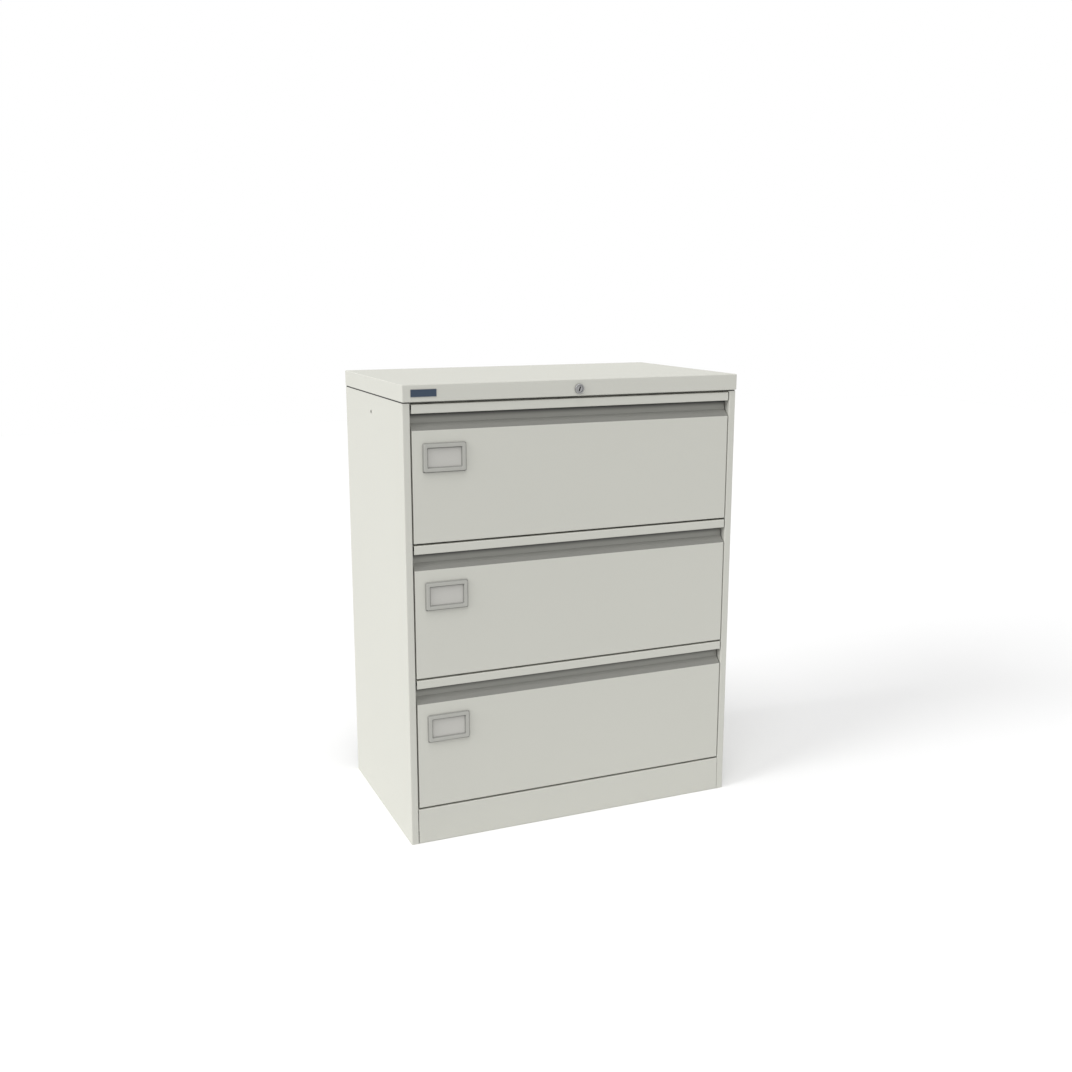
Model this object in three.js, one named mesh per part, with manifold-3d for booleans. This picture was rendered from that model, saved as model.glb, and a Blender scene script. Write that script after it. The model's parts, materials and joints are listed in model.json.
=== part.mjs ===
// Lateral filing cabinet with three drawers, in folded and powder-coated sheet steel.
// Millimetres, +X to the right, +Y to the back, +Z up.
// The origin is on the floor, in the middle of the outer box.

import * as THREE from "three";
import { mergeVertices } from "three/addons/utils/BufferGeometryUtils.js";
import Module from "manifold-3d";

const wasm = await Module();
wasm.setup();

// Driving dimensions of the whole cabinet
const cabinetWidth = 800;
const cabinetDepth = 470;
const cabinetHeight = 1016;
const drawerCount = 3;
const drawerTravel = 400;

// Sheet metal
const sheet = 0.9;
const traySheet = 0.8;
const channelSheet = 1.2;
const insideBend = 1.2;
const channelBend = 0.6;
const bendSteps = 3;
const roundSides = 24;
const seat = 0.3;

// Lid and carcass
const lidHeight = 36;
const lidOverhangFront = 3;
const lidOverhangSide = 1;
const lidEdgeRadius = 2;
const lidCornerRadius = 3;
const lidReturn = 14;
const lidFrontReturn = 34;
const lidShadowGap = 2.5;
const stileWidth = 16.5;
const stileReturn = 20;
const rearFlange = 22;
const sideHoleRadius = 3;
const sideHoleY = 13;
const sideHoleZ = 938.6;
const backFlange = 16;
const plinthHeight = 80.2;
const plinthSeam = 1;
const plinthFoot = 18;
const plinthShelf = 30;
const basePanTop = 60;
const basePanBottom = 20;
const basePanReturn = 58;
const railHeight = 26.4;
const frontRailDepth = 25;
const rearRailDepth = 12;
const uprightWeb = 30;
const uprightFoot = 10;
const frontUprightY = -165;
const rearUprightY = 155;
const slotWidth = 5;
const slotHeight = 12;
const slotsPerDrawer = 8;
const slideSlot = 2;
const hookWidth = 3.4;
const hookHeight = 10;
const hookDrop = 1.6;

// Drawer front and the grip folded along its top
const frontGap = 4.2;
const frontSideGap = 3;
const faceHeight = 239.6;
const gripOpening = 35.4;
const gripDepth = 16;
const gripSlopeRise = 15;
const lipHeight = 19;
const lipReturn = 4.4;
const lipHem = 8;
const frontFlange = 18;

// Drawer inside
const trayFloor = 8;
const trayWallTop = 236;
const trayHem = 8;
const linerHalf = 376;
const fileRailTop = 262;
const fileRailDepth = 12;
const fileRailDrop = 10;

// Card holder on the drawer front
const holderLeft = -357.5;
const holderWidth = 96.5;
const holderBottom = 150.5;
const holderHeight = 62.5;
const holderBorder = 9;
const holderDepth = 3.7;
const holderEdge = 0.8;
const holderCorner = 4;
const cardThickness = 0.6;
const cardTuck = 4;

// Telescopic slides, each in three channels that nest with room for balls
const slideThickness = 12.7;
const slideHalfHeight = 22.5;
const slideLength = drawerTravel;
const slideFront = -205;
const slideTail = 5;
const slideBehindStile = 1.3;
const slideHeightInDrawer = 55;
const middleInset = 2.2;
const middleMouthInset = 2.4;
const outerMouthInset = 1.5;
const memberStep = 4;
const middleHalfHeight = 17;
const innerHalfHeight = 12.5;
const lipOfOuter = 3.5;
const lipOfMiddle = 2.5;

// Lock: barrel, shaft with crank, and the bar that blocks the drawers
const lockProud = 4;
const lockHeight = 995.5;
const bezelRadius = 11;
const housingRadius = 9;
const housingLength = 25;
const barrelRadius = 7.5;
const barrelLength = 28;
const bezelEdge = 1;
const barrelRecess = 0.6;
const keywayWidth = 2.2;
const keywayHeight = 9;
const keywayDepth = 8;
const shaftRadius = 4;
const crankRadius = 8.5;
const crankPinRadius = 2.5;
const crankThickness = 3.5;
const crankRim = 2;
const pinPlay = 0.6;
const barWidth = 28;
const barThickness = 2.5;
const barFront = 211.5;
const barBottom = 200;
const barAbovePin = 10;
const tongueReach = 25;
const tongueHeight = 20;
const catchHeight = 180;
const catchPlay = 2;
const catchLift = 1;
const catchThickness = 1.5;
const guideHeight = 22;
const guideWall = 8;
const guideFrontWall = 2.4;
const upperGuideZ = 912;
const lowerGuideZ = 330;
const hangerY = 188;
const hangerWidth = 34;
const hangerFoot = 18;
const hangerRim = 6;

// Levelling feet
const footX = 365;
const frontFootY = -175;
const rearFootY = 200;
const footRadius = 18;
const footCollarRadius = 8;
const studRadius = 5;
const studTop = 51;
const padEdge = 1.5;
const padHeight = 4.5;
const collarBottom = 7.5;
const collarTop = 13;

// Places worked out from the driving dimensions
const lidFrontY = (lockProud - cabinetDepth) / 2;
const backY = lidFrontY + cabinetDepth;
const frontY = lidFrontY + lidOverhangFront;
const bodyHalf = cabinetWidth / 2 - lidOverhangSide;
const wallInner = bodyHalf - sheet;
const stileInner = bodyHalf - stileWidth;
const frontHalf = stileInner - frontSideGap;
const lidBottom = cabinetHeight - lidHeight;
const carcassTop = lidBottom - seat;
const sidePanelTop = lidBottom - lidShadowGap;
const frontHeight = faceHeight + gripOpening + lipHeight;
const drawerPitch = frontHeight + frontGap;
const firstDrawerZ = plinthHeight + frontGap;
const backPanelY = backY - sheet - seat;
const backPanelInner = backPanelY - sheet;
const linerY = frontY + frontFlange + seat;
const trayFront = linerY + traySheet + seat;
const slideOuterX = stileInner - slideBehindStile;
const trayHalf = slideOuterX - slideThickness - seat;
const uprightX = slideOuterX + seat;
const uprightBottom = basePanTop + seat;
const slotPitch = drawerPitch / slotsPerDrawer;
const drawerBackY = slideFront + slideLength - slideTail;
const trayBack = drawerBackY - seat;
const crankBackY = barFront - crankRim;
const pinRise = crankRadius * Math.SQRT1_2;
const barCentreX = -(crankRadius + pinRise) / 2;
const barLeft = barCentreX - barWidth / 2;
const barRight = barCentreX + barWidth / 2;
const barLift = 2 * pinRise;

// Finishes
function finish(color, roughness, metalness) {
  return new THREE.MeshStandardMaterial({ color, roughness, metalness });
}

const greyPaint = finish(0xd6d6ce, 0.55, 0.1);
const zinc = finish(0xb9bcc0, 0.35, 0.9);
const chrome = finish(0xd8d8da, 0.15, 1.0);
const greyPlastic = finish(0x9a9a97, 0.5, 0.0);
const whiteNylon = finish(0xe6e4dc, 0.6, 0.0);
const blackPlastic = finish(0x222222, 0.6, 0.0);
const cardPaper = finish(0xcfcec8, 0.9, 0.0);

// Geometry as a solid that can be cut and joined, and back again.
function solidOf(geometry) {
  const bare = geometry.clone();
  bare.deleteAttribute("normal");
  bare.deleteAttribute("uv");
  const merged = mergeVertices(bare);
  const vertProperties = merged.getAttribute("position").array;
  const triVerts = new Uint32Array(merged.index.array);
  return new wasm.Manifold(new wasm.Mesh({ numProp: 3, vertProperties, triVerts }));
}

function geometryOf(solid) {
  const { vertProperties, triVerts } = solid.getMesh();
  const geometry = new THREE.BufferGeometry();
  geometry.setAttribute("position", new THREE.BufferAttribute(vertProperties, 3));
  geometry.setIndex(new THREE.BufferAttribute(triVerts, 1));
  geometry.computeVertexNormals();
  return geometry;
}

function cut(blank, ...tools) {
  return geometryOf(tools.reduce((solid, tool) => solid.subtract(solidOf(tool)), solidOf(blank)));
}

function join(first, ...others) {
  return geometryOf(others.reduce((solid, other) => solid.add(solidOf(other)), solidOf(first)));
}

// A block between two corners.
function block(x0, x1, y0, y1, z0, z1) {
  const box = new THREE.BoxGeometry(x1 - x0, y1 - y0, z1 - z0);
  return box.translate((x0 + x1) / 2, (y0 + y1) / 2, (z0 + z1) / 2);
}

// Extrusions: sections in (y, z) run along X, sections in (x, z) along Y, and sections in (x, y) along Z.
const axisX = new THREE.Vector3(1, 0, 0);
const axisY = new THREE.Vector3(0, 1, 0);
const axisZ = new THREE.Vector3(0, 0, 1);

function extrude(section, length) {
  return new THREE.ExtrudeGeometry(section, { depth: length, bevelEnabled: false, curveSegments: bendSteps });
}

function alongX(section, from, to) {
  const turn = new THREE.Matrix4().makeBasis(axisY, axisZ, axisX).setPosition(from, 0, 0);
  return extrude(section, to - from).applyMatrix4(turn);
}

function alongY(section, from, to) {
  const turn = new THREE.Matrix4().makeBasis(axisX, axisZ, axisY.clone().negate()).setPosition(0, to, 0);
  return extrude(section, to - from).applyMatrix4(turn);
}

function alongZ(section, from, to) {
  return extrude(section, to - from).translate(0, 0, from);
}

// Section of a folded sheet. The path is one skin of the sheet, and the metal lies to the left of it when
// side is 1 and to the right when side is -1. Every corner of the path becomes a bend.
function foldedSection(path, thickness, side, bend = insideBend) {
  const skin = path.map(([a, b]) => new THREE.Vector2(a, b));
  const nearSkin = bentRun(skin, 0, thickness, side, bend);
  const farSkin = bentRun(skin, thickness, thickness, side, bend);
  return new THREE.Shape([...nearSkin, ...farSkin.reverse()]);
}

// The path moved into the metal by an offset, with an arc round each corner.
function bentRun(skin, offset, thickness, side, bend) {
  const heading = (i) => skin[i + 1].clone().sub(skin[i]).normalize();
  const intoMetal = (direction) => new THREE.Vector2(-direction.y, direction.x).multiplyScalar(side);
  const run = [];
  skin.forEach((corner, i) => {
    if (i === 0 || i === skin.length - 1) {
      const end = intoMetal(heading(Math.min(i, skin.length - 2)));
      run.push(corner.clone().addScaledVector(end, offset));
      return;
    }
    const arriving = heading(i - 1);
    const leaving = heading(i);
    const turn = Math.atan2(arriving.cross(leaving), arriving.dot(leaving));
    const radius = turn * side > 0 ? bend + thickness - offset : bend + offset;
    const mitre = intoMetal(arriving).add(intoMetal(leaving));
    mitre.divideScalar(1 + arriving.dot(leaving));
    const vertex = corner.clone().addScaledVector(mitre, offset);
    const start = vertex.clone().addScaledVector(arriving, -radius * Math.tan(Math.abs(turn) / 2));
    const towardsCentre = new THREE.Vector2(-arriving.y, arriving.x).multiplyScalar(Math.sign(turn));
    const centre = start.clone().addScaledVector(towardsCentre, radius);
    for (let step = 0; step <= bendSteps; step += 1) {
      run.push(start.clone().rotateAround(centre, (turn * step) / bendSteps));
    }
  });
  return run;
}

// Rectangle with rounded corners, as a shape.
function roundedRectangle(x0, x1, y0, y1, radius) {
  const shape = new THREE.Shape();
  shape.absarc(x1 - radius, y1 - radius, radius, 0, Math.PI / 2);
  shape.absarc(x0 + radius, y1 - radius, radius, Math.PI / 2, Math.PI);
  shape.absarc(x0 + radius, y0 + radius, radius, Math.PI, 1.5 * Math.PI);
  shape.absarc(x1 - radius, y0 + radius, radius, 1.5 * Math.PI, 2 * Math.PI);
  return shape;
}

function rectangleHole(x0, x1, y0, y1) {
  const corners = [[x0, y0], [x1, y0], [x1, y1], [x0, y1]];
  return new THREE.Path(corners.map(([x, y]) => new THREE.Vector2(x, y)));
}

// Round pieces: a closed profile of [radius, height] turned about the Y axis.
function turned(profile) {
  return new THREE.LatheGeometry(profile.map(([r, h]) => new THREE.Vector2(r, h)), roundSides);
}

// Lid: a pan with its edges turned down and folded under, and a hole for the lock
function lidBlank(inset, edge) {
  const corner = lidCornerRadius - inset;
  const half = cabinetWidth / 2 - inset;
  const outline = roundedRectangle(-half, half, lidFrontY + inset, backY - inset, corner);
  const blank = new THREE.ExtrudeGeometry(outline, {
    depth: lidHeight - 2 * (inset + edge),
    bevelThickness: edge,
    bevelSize: edge,
    bevelOffset: -edge,
    bevelSegments: bendSteps,
    curveSegments: bendSteps,
  });
  return blank.translate(0, 0, lidBottom + inset + edge);
}

function lid() {
  const openHalf = cabinetWidth / 2 - lidReturn;
  const openFront = lidFrontY + lidFrontReturn;
  const openBack = backY - lidReturn;
  const opening = block(-openHalf, openHalf, openFront, openBack, lidBottom - sheet, lidBottom + 2 * sheet);
  const holeRadius = housingRadius + seat;
  const lockHole = new THREE.CylinderGeometry(holeRadius, holeRadius, lidReturn, roundSides);
  lockHole.translate(0, lidFrontY, lockHeight);
  return cut(lidBlank(0, lidEdgeRadius), lidBlank(sheet, lidEdgeRadius - sheet), opening, lockHole);
}

// Left side panel: rear flange, wall, front stile and the stile's return, folded from one sheet
function sidePanel() {
  const section = foldedSection(
    [
      [rearFlange - bodyHalf, backY],
      [-bodyHalf, backY],
      [-bodyHalf, frontY],
      [-stileInner, frontY],
      [-stileInner, frontY + stileReturn],
    ],
    sheet,
    1,
  );
  const hole = new THREE.CylinderGeometry(sideHoleRadius, sideHoleRadius, stileWidth, roundSides / 2);
  hole.rotateZ(Math.PI / 2).translate(-bodyHalf, sideHoleY, sideHoleZ);
  return cut(alongZ(section, 0, sidePanelTop), hole);
}

function backPanel() {
  const section = foldedSection(
    [
      [backPanelY - backFlange, 0],
      [backPanelY, 0],
      [backPanelY, carcassTop],
      [backPanelY - backFlange, carcassTop],
    ],
    sheet,
    1,
  );
  const half = wallInner - insideBend - seat;
  return alongX(section, -half, half);
}

// Plinth: foot, face and a shelf whose edge turns down onto the base pan
function plinth() {
  const section = foldedSection(
    [
      [frontY + plinthFoot, 0],
      [frontY, 0],
      [frontY, plinthHeight],
      [frontY + plinthShelf, plinthHeight],
      [frontY + plinthShelf, basePanTop + seat],
    ],
    sheet,
    -1,
  );
  return alongX(section, plinthSeam - stileInner, stileInner - plinthSeam);
}

// Base pan: a sheet with both sides folded down and under, drilled for the levelling feet
function basePan() {
  const half = wallInner - seat;
  const section = foldedSection(
    [
      [basePanReturn - half, basePanBottom],
      [-half, basePanBottom],
      [-half, basePanTop],
      [half, basePanTop],
      [half, basePanBottom],
      [half - basePanReturn, basePanBottom],
    ],
    sheet,
    -1,
  );
  const holes = footPlaces().map(([x, y]) => {
    const drill = new THREE.CylinderGeometry(studRadius + seat, studRadius + seat, basePanBottom, roundSides);
    return drill.rotateX(Math.PI / 2).translate(x, y, basePanBottom);
  });
  return cut(alongY(section, frontY + stileReturn + 2 * seat, backPanelInner - seat), ...holes);
}

// Top rail: a channel across the cabinet, open to the back
function topRail(front, depth, top) {
  const section = foldedSection(
    [
      [front + depth, top - railHeight],
      [front, top - railHeight],
      [front, top],
      [front + depth, top],
    ],
    sheet,
    -1,
  );
  return alongX(section, -wallInner + seat, wallInner - seat);
}

// Upright: a hat section welded to the left wall, with a column of slots that take the slides
function upright() {
  const wall = -wallInner + seat;
  const web = -uprightX - channelSheet;
  const reach = uprightWeb / 2;
  const section = foldedSection(
    [
      [wall, -reach - uprightFoot],
      [wall, -reach],
      [web, -reach],
      [web, reach],
      [wall, reach],
      [wall, reach + uprightFoot],
    ],
    channelSheet,
    -1,
    channelBend,
  );
  const top = carcassTop - railHeight - seat;
  const slots = [];
  for (let z = uprightBottom + slotPitch; z < top - slotHeight; z += slotPitch) {
    slots.push(block(web - 1, web + channelSheet + 1, -slotWidth / 2, slotWidth / 2, z, z + slotHeight));
  }
  return cut(alongZ(section, uprightBottom, top), ...slots);
}

// Slide member: a lipped channel whose web is at one depth and whose open side is at another
function slideMember(web, mouth, halfHeight, lip, length) {
  const side = mouth > web ? -1 : 1;
  const section = foldedSection(
    [
      [mouth, lip - halfHeight],
      [mouth, -halfHeight],
      [web, -halfHeight],
      [web, halfHeight],
      [mouth, halfHeight],
      [mouth, halfHeight - lip],
    ],
    channelSheet,
    side,
    channelBend,
  );
  return alongY(section, slideFront, slideFront + length);
}

// Outer slide member: a channel with two hooks that hang in a slot of each upright
function outerSlide(mouth) {
  const channel = slideMember(0, mouth, slideHalfHeight, lipOfOuter, slideLength);
  const slotBottom = uprightBottom + slideSlot * slotPitch - firstDrawerZ - slideHeightInDrawer;
  const neckBottom = slotBottom + seat;
  const neckTop = neckBottom + hookHeight;
  const hookInner = -2 * seat - channelSheet;
  const hookOuter = hookInner - channelSheet;
  const hooks = [frontUprightY, rearUprightY].flatMap((y) => {
    const front = y - hookWidth / 2;
    const back = y + hookWidth / 2;
    return [
      block(hookOuter, channelSheet / 2, front, back, neckBottom, neckTop),
      block(hookOuter, hookInner, front, back, neckBottom - hookDrop, neckTop - hookDrop),
    ];
  });
  return join(channel, ...hooks);
}

// Drawer front: bottom flange, face, slope and back wall of the grip, top, and the lip with its hem.
// The path is the skin that faces the user, so past the grip's back wall it runs inside the grip.
function drawerFront() {
  const lipBottom = frontHeight - lipHeight;
  const gripBack = frontY + gripDepth;
  const section = foldedSection(
    [
      [frontY + frontFlange, 0],
      [frontY, 0],
      [frontY, faceHeight],
      [gripBack, faceHeight + gripSlopeRise],
      [gripBack, frontHeight - sheet],
      [frontY + sheet, frontHeight - sheet],
      [frontY + sheet, lipBottom + sheet],
      [frontY + lipReturn - sheet, lipBottom + sheet],
      [frontY + lipReturn - sheet, lipBottom + lipHem],
    ],
    sheet,
    -1,
  );
  const half = sheet / 2;
  const endFlange = (x) => block(x, x + sheet, frontY + half, frontY + frontFlange, half, faceHeight - half);
  return join(alongX(section, -frontHalf, frontHalf), endFlange(-frontHalf), endFlange(frontHalf - sheet));
}

// Inner front of the drawer, its top folded into the front file rail
function drawerLiner() {
  const railBack = linerY + fileRailDepth;
  const section = foldedSection(
    [
      [linerY, 0],
      [linerY, fileRailTop],
      [railBack, fileRailTop],
      [railBack, fileRailTop - fileRailDrop],
    ],
    traySheet,
    -1,
  );
  return alongX(section, -linerHalf, linerHalf);
}

// Bottom and both sides of the drawer, with the walls' top edges turned in
function drawerTray() {
  const section = foldedSection(
    [
      [trayHem - trayHalf, trayWallTop],
      [-trayHalf, trayWallTop],
      [-trayHalf, trayFloor],
      [trayHalf, trayFloor],
      [trayHalf, trayWallTop],
      [trayHalf - trayHem, trayWallTop],
    ],
    traySheet,
    1,
  );
  return alongY(section, trayFront, trayBack);
}

// Back of the drawer, its top folded into the rear file rail, with the catch that the lock bar blocks
function drawerBack() {
  const skinY = drawerBackY + traySheet;
  const railFront = skinY - fileRailDepth;
  const section = foldedSection(
    [
      [skinY, trayFloor],
      [skinY, fileRailTop],
      [railFront, fileRailTop],
      [railFront, fileRailTop - fileRailDrop],
    ],
    traySheet,
    1,
  );
  const hookBack = barFront + barThickness + catchPlay + catchThickness;
  const hookTop = catchHeight + barLift + catchLift + catchThickness;
  const hook = foldedSection(
    [
      [drawerBackY + traySheet / 2, hookTop],
      [hookBack, hookTop],
      [hookBack, catchHeight + catchLift],
    ],
    catchThickness,
    -1,
    channelBend,
  );
  const hookLeft = barRight + catchPlay;
  const catchPiece = alongX(hook, hookLeft, hookLeft + tongueReach - 2 * catchPlay);
  return join(alongX(section, -trayHalf, trayHalf), catchPiece);
}

// Card holder: a moulded frame with a pocket behind its window, open at the right
function cardHolder() {
  const right = holderLeft + holderWidth;
  const top = holderBottom + holderHeight;
  const frame = roundedRectangle(holderLeft, right, holderBottom, top, holderCorner);
  frame.holes.push(
    rectangleHole(
      holderLeft + holderBorder, right - holderBorder, holderBottom + holderBorder, top - holderBorder,
    ),
  );
  const back = frontY - seat;
  const moulding = new THREE.ExtrudeGeometry(frame, {
    depth: holderDepth - 2 * holderEdge,
    bevelThickness: holderEdge,
    bevelSize: holderEdge,
    bevelOffset: -holderEdge,
    bevelSegments: 2,
    curveSegments: bendSteps,
  });
  const turn = new THREE.Matrix4().makeBasis(axisX, axisZ, axisY.clone().negate());
  moulding.applyMatrix4(turn.setPosition(0, back - holderEdge, 0));
  const tuck = holderBorder - cardTuck - seat;
  const pocketDepth = cardThickness + 3 * seat;
  const pocket = block(
    holderLeft + tuck, right + tuck, back - pocketDepth, back + tuck, holderBottom + tuck, top - tuck,
  );
  return cut(moulding, pocket);
}

function card() {
  const tuck = holderBorder - cardTuck;
  const back = frontY - 2 * seat;
  return block(
    holderLeft + tuck,
    holderLeft + holderWidth - tuck,
    back - cardThickness,
    back,
    holderBottom + tuck,
    holderBottom + holderHeight - tuck,
  );
}

// Lock housing: a sleeve through the lid's front edge with a rounded bezel in front
function lockHousing() {
  const face = lidFrontY - lockProud;
  const bore = barrelRadius + seat;
  const shoulder = lidFrontY - seat;
  return turned([
    [bore, face + housingLength],
    [bore, face],
    [bezelRadius - bezelEdge, face],
    [bezelRadius, face + bezelEdge],
    [bezelRadius, shoulder],
    [housingRadius, shoulder],
    [housingRadius, face + housingLength],
    [bore, face + housingLength],
  ]);
}

function lockBarrel() {
  const face = lidFrontY - lockProud + barrelRecess;
  const plug = turned([
    [0, face],
    [barrelRadius - barrelRecess, face],
    [barrelRadius, face + barrelRecess],
    [barrelRadius, face + barrelLength],
    [0, face + barrelLength],
  ]);
  const keyway = block(
    -keywayWidth / 2, keywayWidth / 2, face - 1, face + keywayDepth, -keywayHeight / 2, keywayHeight / 2,
  );
  return cut(plug, keyway);
}

// Lock shaft: a rod from the barrel to the back, with a crank and its pin on the end
function lockShaft() {
  const start = lidFrontY - lockProud + barrelRecess + barrelLength + seat;
  const rod = turned([[0, start], [shaftRadius, start], [shaftRadius, crankBackY], [0, crankBackY]]);
  const armAngle = 1.25 * Math.PI;
  const hubRadius = shaftRadius + crankRim;
  const armRadius = crankPinRadius + crankRim;
  const spread = Math.acos((hubRadius - armRadius) / crankRadius);
  const arm = new THREE.Shape();
  arm.absarc(0, 0, hubRadius, armAngle + spread, armAngle - spread + 2 * Math.PI);
  arm.absarc(-pinRise, -pinRise, armRadius, armAngle - spread, armAngle + spread);
  const crank = alongY(arm, crankBackY - crankThickness, crankBackY);
  const pinLength = crankThickness / 2 + crankRim + barThickness + crankRim / 2;
  const pin = new THREE.CylinderGeometry(crankPinRadius, crankPinRadius, pinLength, roundSides / 2);
  pin.translate(-pinRise, crankBackY - crankThickness / 2 + pinLength / 2, -pinRise);
  return join(rod, crank, pin);
}

// Bracket under the lid that carries the back end of the lock shaft
function shaftHanger() {
  const ceiling = cabinetHeight - sheet - seat;
  const drop = lockHeight - shaftRadius - hangerRim;
  const section = foldedSection(
    [[hangerY - hangerFoot, ceiling], [hangerY, ceiling], [hangerY, drop]],
    channelSheet,
    -1,
    channelBend,
  );
  const bore = new THREE.CylinderGeometry(shaftRadius + seat, shaftRadius + seat, hangerRim, roundSides);
  bore.translate(0, hangerY, lockHeight);
  return cut(alongX(section, -hangerWidth / 2, hangerWidth / 2), bore);
}

// Lock bar: a flat strip with a slot for the crank pin and a tongue for each drawer
function lockBar() {
  const pinZ = lockHeight - pinRise;
  const barTop = pinZ + barAbovePin;
  const outline = new THREE.Shape();
  outline.moveTo(barLeft, barBottom);
  outline.lineTo(barRight, barBottom);
  for (let i = 0; i < drawerCount; i += 1) {
    const tongueTop = firstDrawerZ + i * drawerPitch + catchHeight;
    outline.lineTo(barRight, tongueTop - tongueHeight);
    outline.lineTo(barRight + tongueReach, tongueTop - tongueHeight);
    outline.lineTo(barRight + tongueReach, tongueTop);
    outline.lineTo(barRight, tongueTop);
  }
  outline.lineTo(barRight, barTop);
  outline.lineTo(barLeft, barTop);
  const room = crankPinRadius + pinPlay;
  outline.holes.push(rectangleHole(-crankRadius - room, -pinRise + room, pinZ - room, pinZ + room));
  return alongY(outline, barFront, barFront + barThickness);
}

// Guide for the lock bar: a moulded block on the back panel, cored out behind the bar
function barGuide() {
  const front = barFront - 2 * seat - guideFrontWall;
  const back = backPanelInner - seat;
  const outline = roundedRectangle(barLeft - guideWall, barRight + guideWall, front, back, 2);
  const through = (x0, x1, y0, y1) => block(x0, x1, y0, y1, -1, guideHeight + 1);
  const slotBack = barFront + barThickness + 2 * seat;
  const coreFront = slotBack + guideFrontWall;
  const coreBack = back - guideFrontWall;
  const rib = guideFrontWall / 2;
  const coreEnd = guideWall - guideFrontWall;
  return cut(
    alongZ(outline, 0, guideHeight),
    through(barLeft - 2 * seat, barRight + 2 * seat, barFront - 2 * seat, slotBack),
    through(barLeft - coreEnd, barCentreX - rib, coreFront, coreBack),
    through(barCentreX + rib, barRight + coreEnd, coreFront, coreBack),
  );
}

// Levelling foot: a pad with a collar on a stud
function levellingFoot() {
  const foot = turned([
    [0, 0],
    [footRadius - padEdge, 0],
    [footRadius, padEdge],
    [footRadius, padHeight],
    [footCollarRadius, collarBottom],
    [footCollarRadius, collarTop],
    [studRadius, collarTop],
    [studRadius, studTop - padEdge],
    [studRadius - padEdge, studTop],
    [0, studTop],
  ]);
  return foot.rotateX(Math.PI / 2);
}

function footPlaces() {
  return [
    [-footX, frontFootY],
    [footX, frontFootY],
    [-footX, rearFootY],
    [footX, rearFootY],
  ];
}

// Assembly
const cabinet = new THREE.Group();

function place(parent, name, geometry, material, x = 0, y = 0, z = 0) {
  const mesh = new THREE.Mesh(geometry, material);
  mesh.name = name;
  mesh.position.set(x, y, z);
  parent.add(mesh);
  return mesh;
}

// A left-hand piece and its mirror image on the right.
function placePair(parent, name, geometry, material, x = 0, y = 0, z = 0) {
  place(parent, `${name}_left`, geometry, material, x, y, z);
  place(parent, `${name}_right`, geometry, material, -x, y, z).scale.x = -1;
}

place(cabinet, "lid", lid(), greyPaint);
placePair(cabinet, "side_panel", sidePanel(), greyPaint);
place(cabinet, "back_panel", backPanel(), greyPaint);
place(cabinet, "plinth", plinth(), greyPaint);
place(cabinet, "base_pan", basePan(), greyPaint);
const frontRailY = linerY + traySheet + frontSideGap;
place(cabinet, "top_front_rail", topRail(frontRailY, frontRailDepth, carcassTop), greyPaint);
const rearRailY = backPanelInner - seat - rearRailDepth;
const rearRailTop = carcassTop - sheet - insideBend - seat;
place(cabinet, "top_rear_rail", topRail(rearRailY, rearRailDepth, rearRailTop), greyPaint);
const uprightPiece = upright();
placePair(cabinet, "front_upright", uprightPiece, greyPaint, 0, frontUprightY, 0);
placePair(cabinet, "rear_upright", uprightPiece, greyPaint, 0, rearUprightY, 0);

place(cabinet, "lock_housing", lockHousing(), chrome, 0, 0, lockHeight);
place(cabinet, "lock_barrel", lockBarrel(), chrome, 0, 0, lockHeight);
place(cabinet, "lock_shaft", lockShaft(), zinc, 0, 0, lockHeight);
place(cabinet, "lock_shaft_hanger", shaftHanger(), zinc);
place(cabinet, "lock_bar", lockBar(), zinc);
const guidePiece = barGuide();
place(cabinet, "lock_bar_guide_upper", guidePiece, whiteNylon, 0, 0, upperGuideZ);
place(cabinet, "lock_bar_guide_lower", guidePiece, whiteNylon, 0, 0, lowerGuideZ);

const footPiece = levellingFoot();
const footNames = ["front_left", "front_right", "rear_left", "rear_right"];
footPlaces().forEach(([x, y], i) => place(cabinet, `foot_${footNames[i]}`, footPiece, blackPlastic, x, y));

const innerMouth = middleInset + channelSheet + channelSheet;
const middleMouth = slideThickness - middleMouthInset;
const outerMouth = slideThickness - outerMouthInset;
const outerMember = outerSlide(outerMouth);
const middleLength = slideLength - memberStep;
const innerLength = middleLength - memberStep;
const middleMember = slideMember(middleInset, middleMouth, middleHalfHeight, lipOfMiddle, middleLength);
const innerMember = slideMember(slideThickness, innerMouth, innerHalfHeight, lipOfMiddle, innerLength);
const frontPiece = drawerFront();
const linerPiece = drawerLiner();
const trayPiece = drawerTray();
const backPiece = drawerBack();
const holderPiece = cardHolder();
const cardPiece = card();

["bottom", "middle", "top"].forEach((level, i) => {
  const drawer = new THREE.Group();
  drawer.position.z = firstDrawerZ + i * drawerPitch;
  place(drawer, `${level}_drawer_front`, frontPiece, greyPaint);
  place(drawer, `${level}_drawer_liner`, linerPiece, greyPaint);
  place(drawer, `${level}_drawer_tray`, trayPiece, greyPaint);
  place(drawer, `${level}_drawer_back`, backPiece, greyPaint);
  place(drawer, `${level}_card_holder`, holderPiece, greyPlastic);
  place(drawer, `${level}_card`, cardPiece, cardPaper);
  const slides = new THREE.Group();
  slides.position.z = slideHeightInDrawer;
  placePair(slides, `${level}_slide_outer`, outerMember, zinc, -slideOuterX);
  placePair(slides, `${level}_slide_middle`, middleMember, zinc, -slideOuterX);
  placePair(slides, `${level}_slide_inner`, innerMember, zinc, -slideOuterX);
  drawer.add(slides);
  cabinet.add(drawer);
});

export default cabinet;
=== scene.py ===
"""Lateral filing cabinet: shells, fittings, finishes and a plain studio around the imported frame."""
import json
import math

import bmesh
import bpy
from bpy.props import FloatProperty, FloatVectorProperty, PointerProperty
from mathutils import Matrix, Vector


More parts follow.
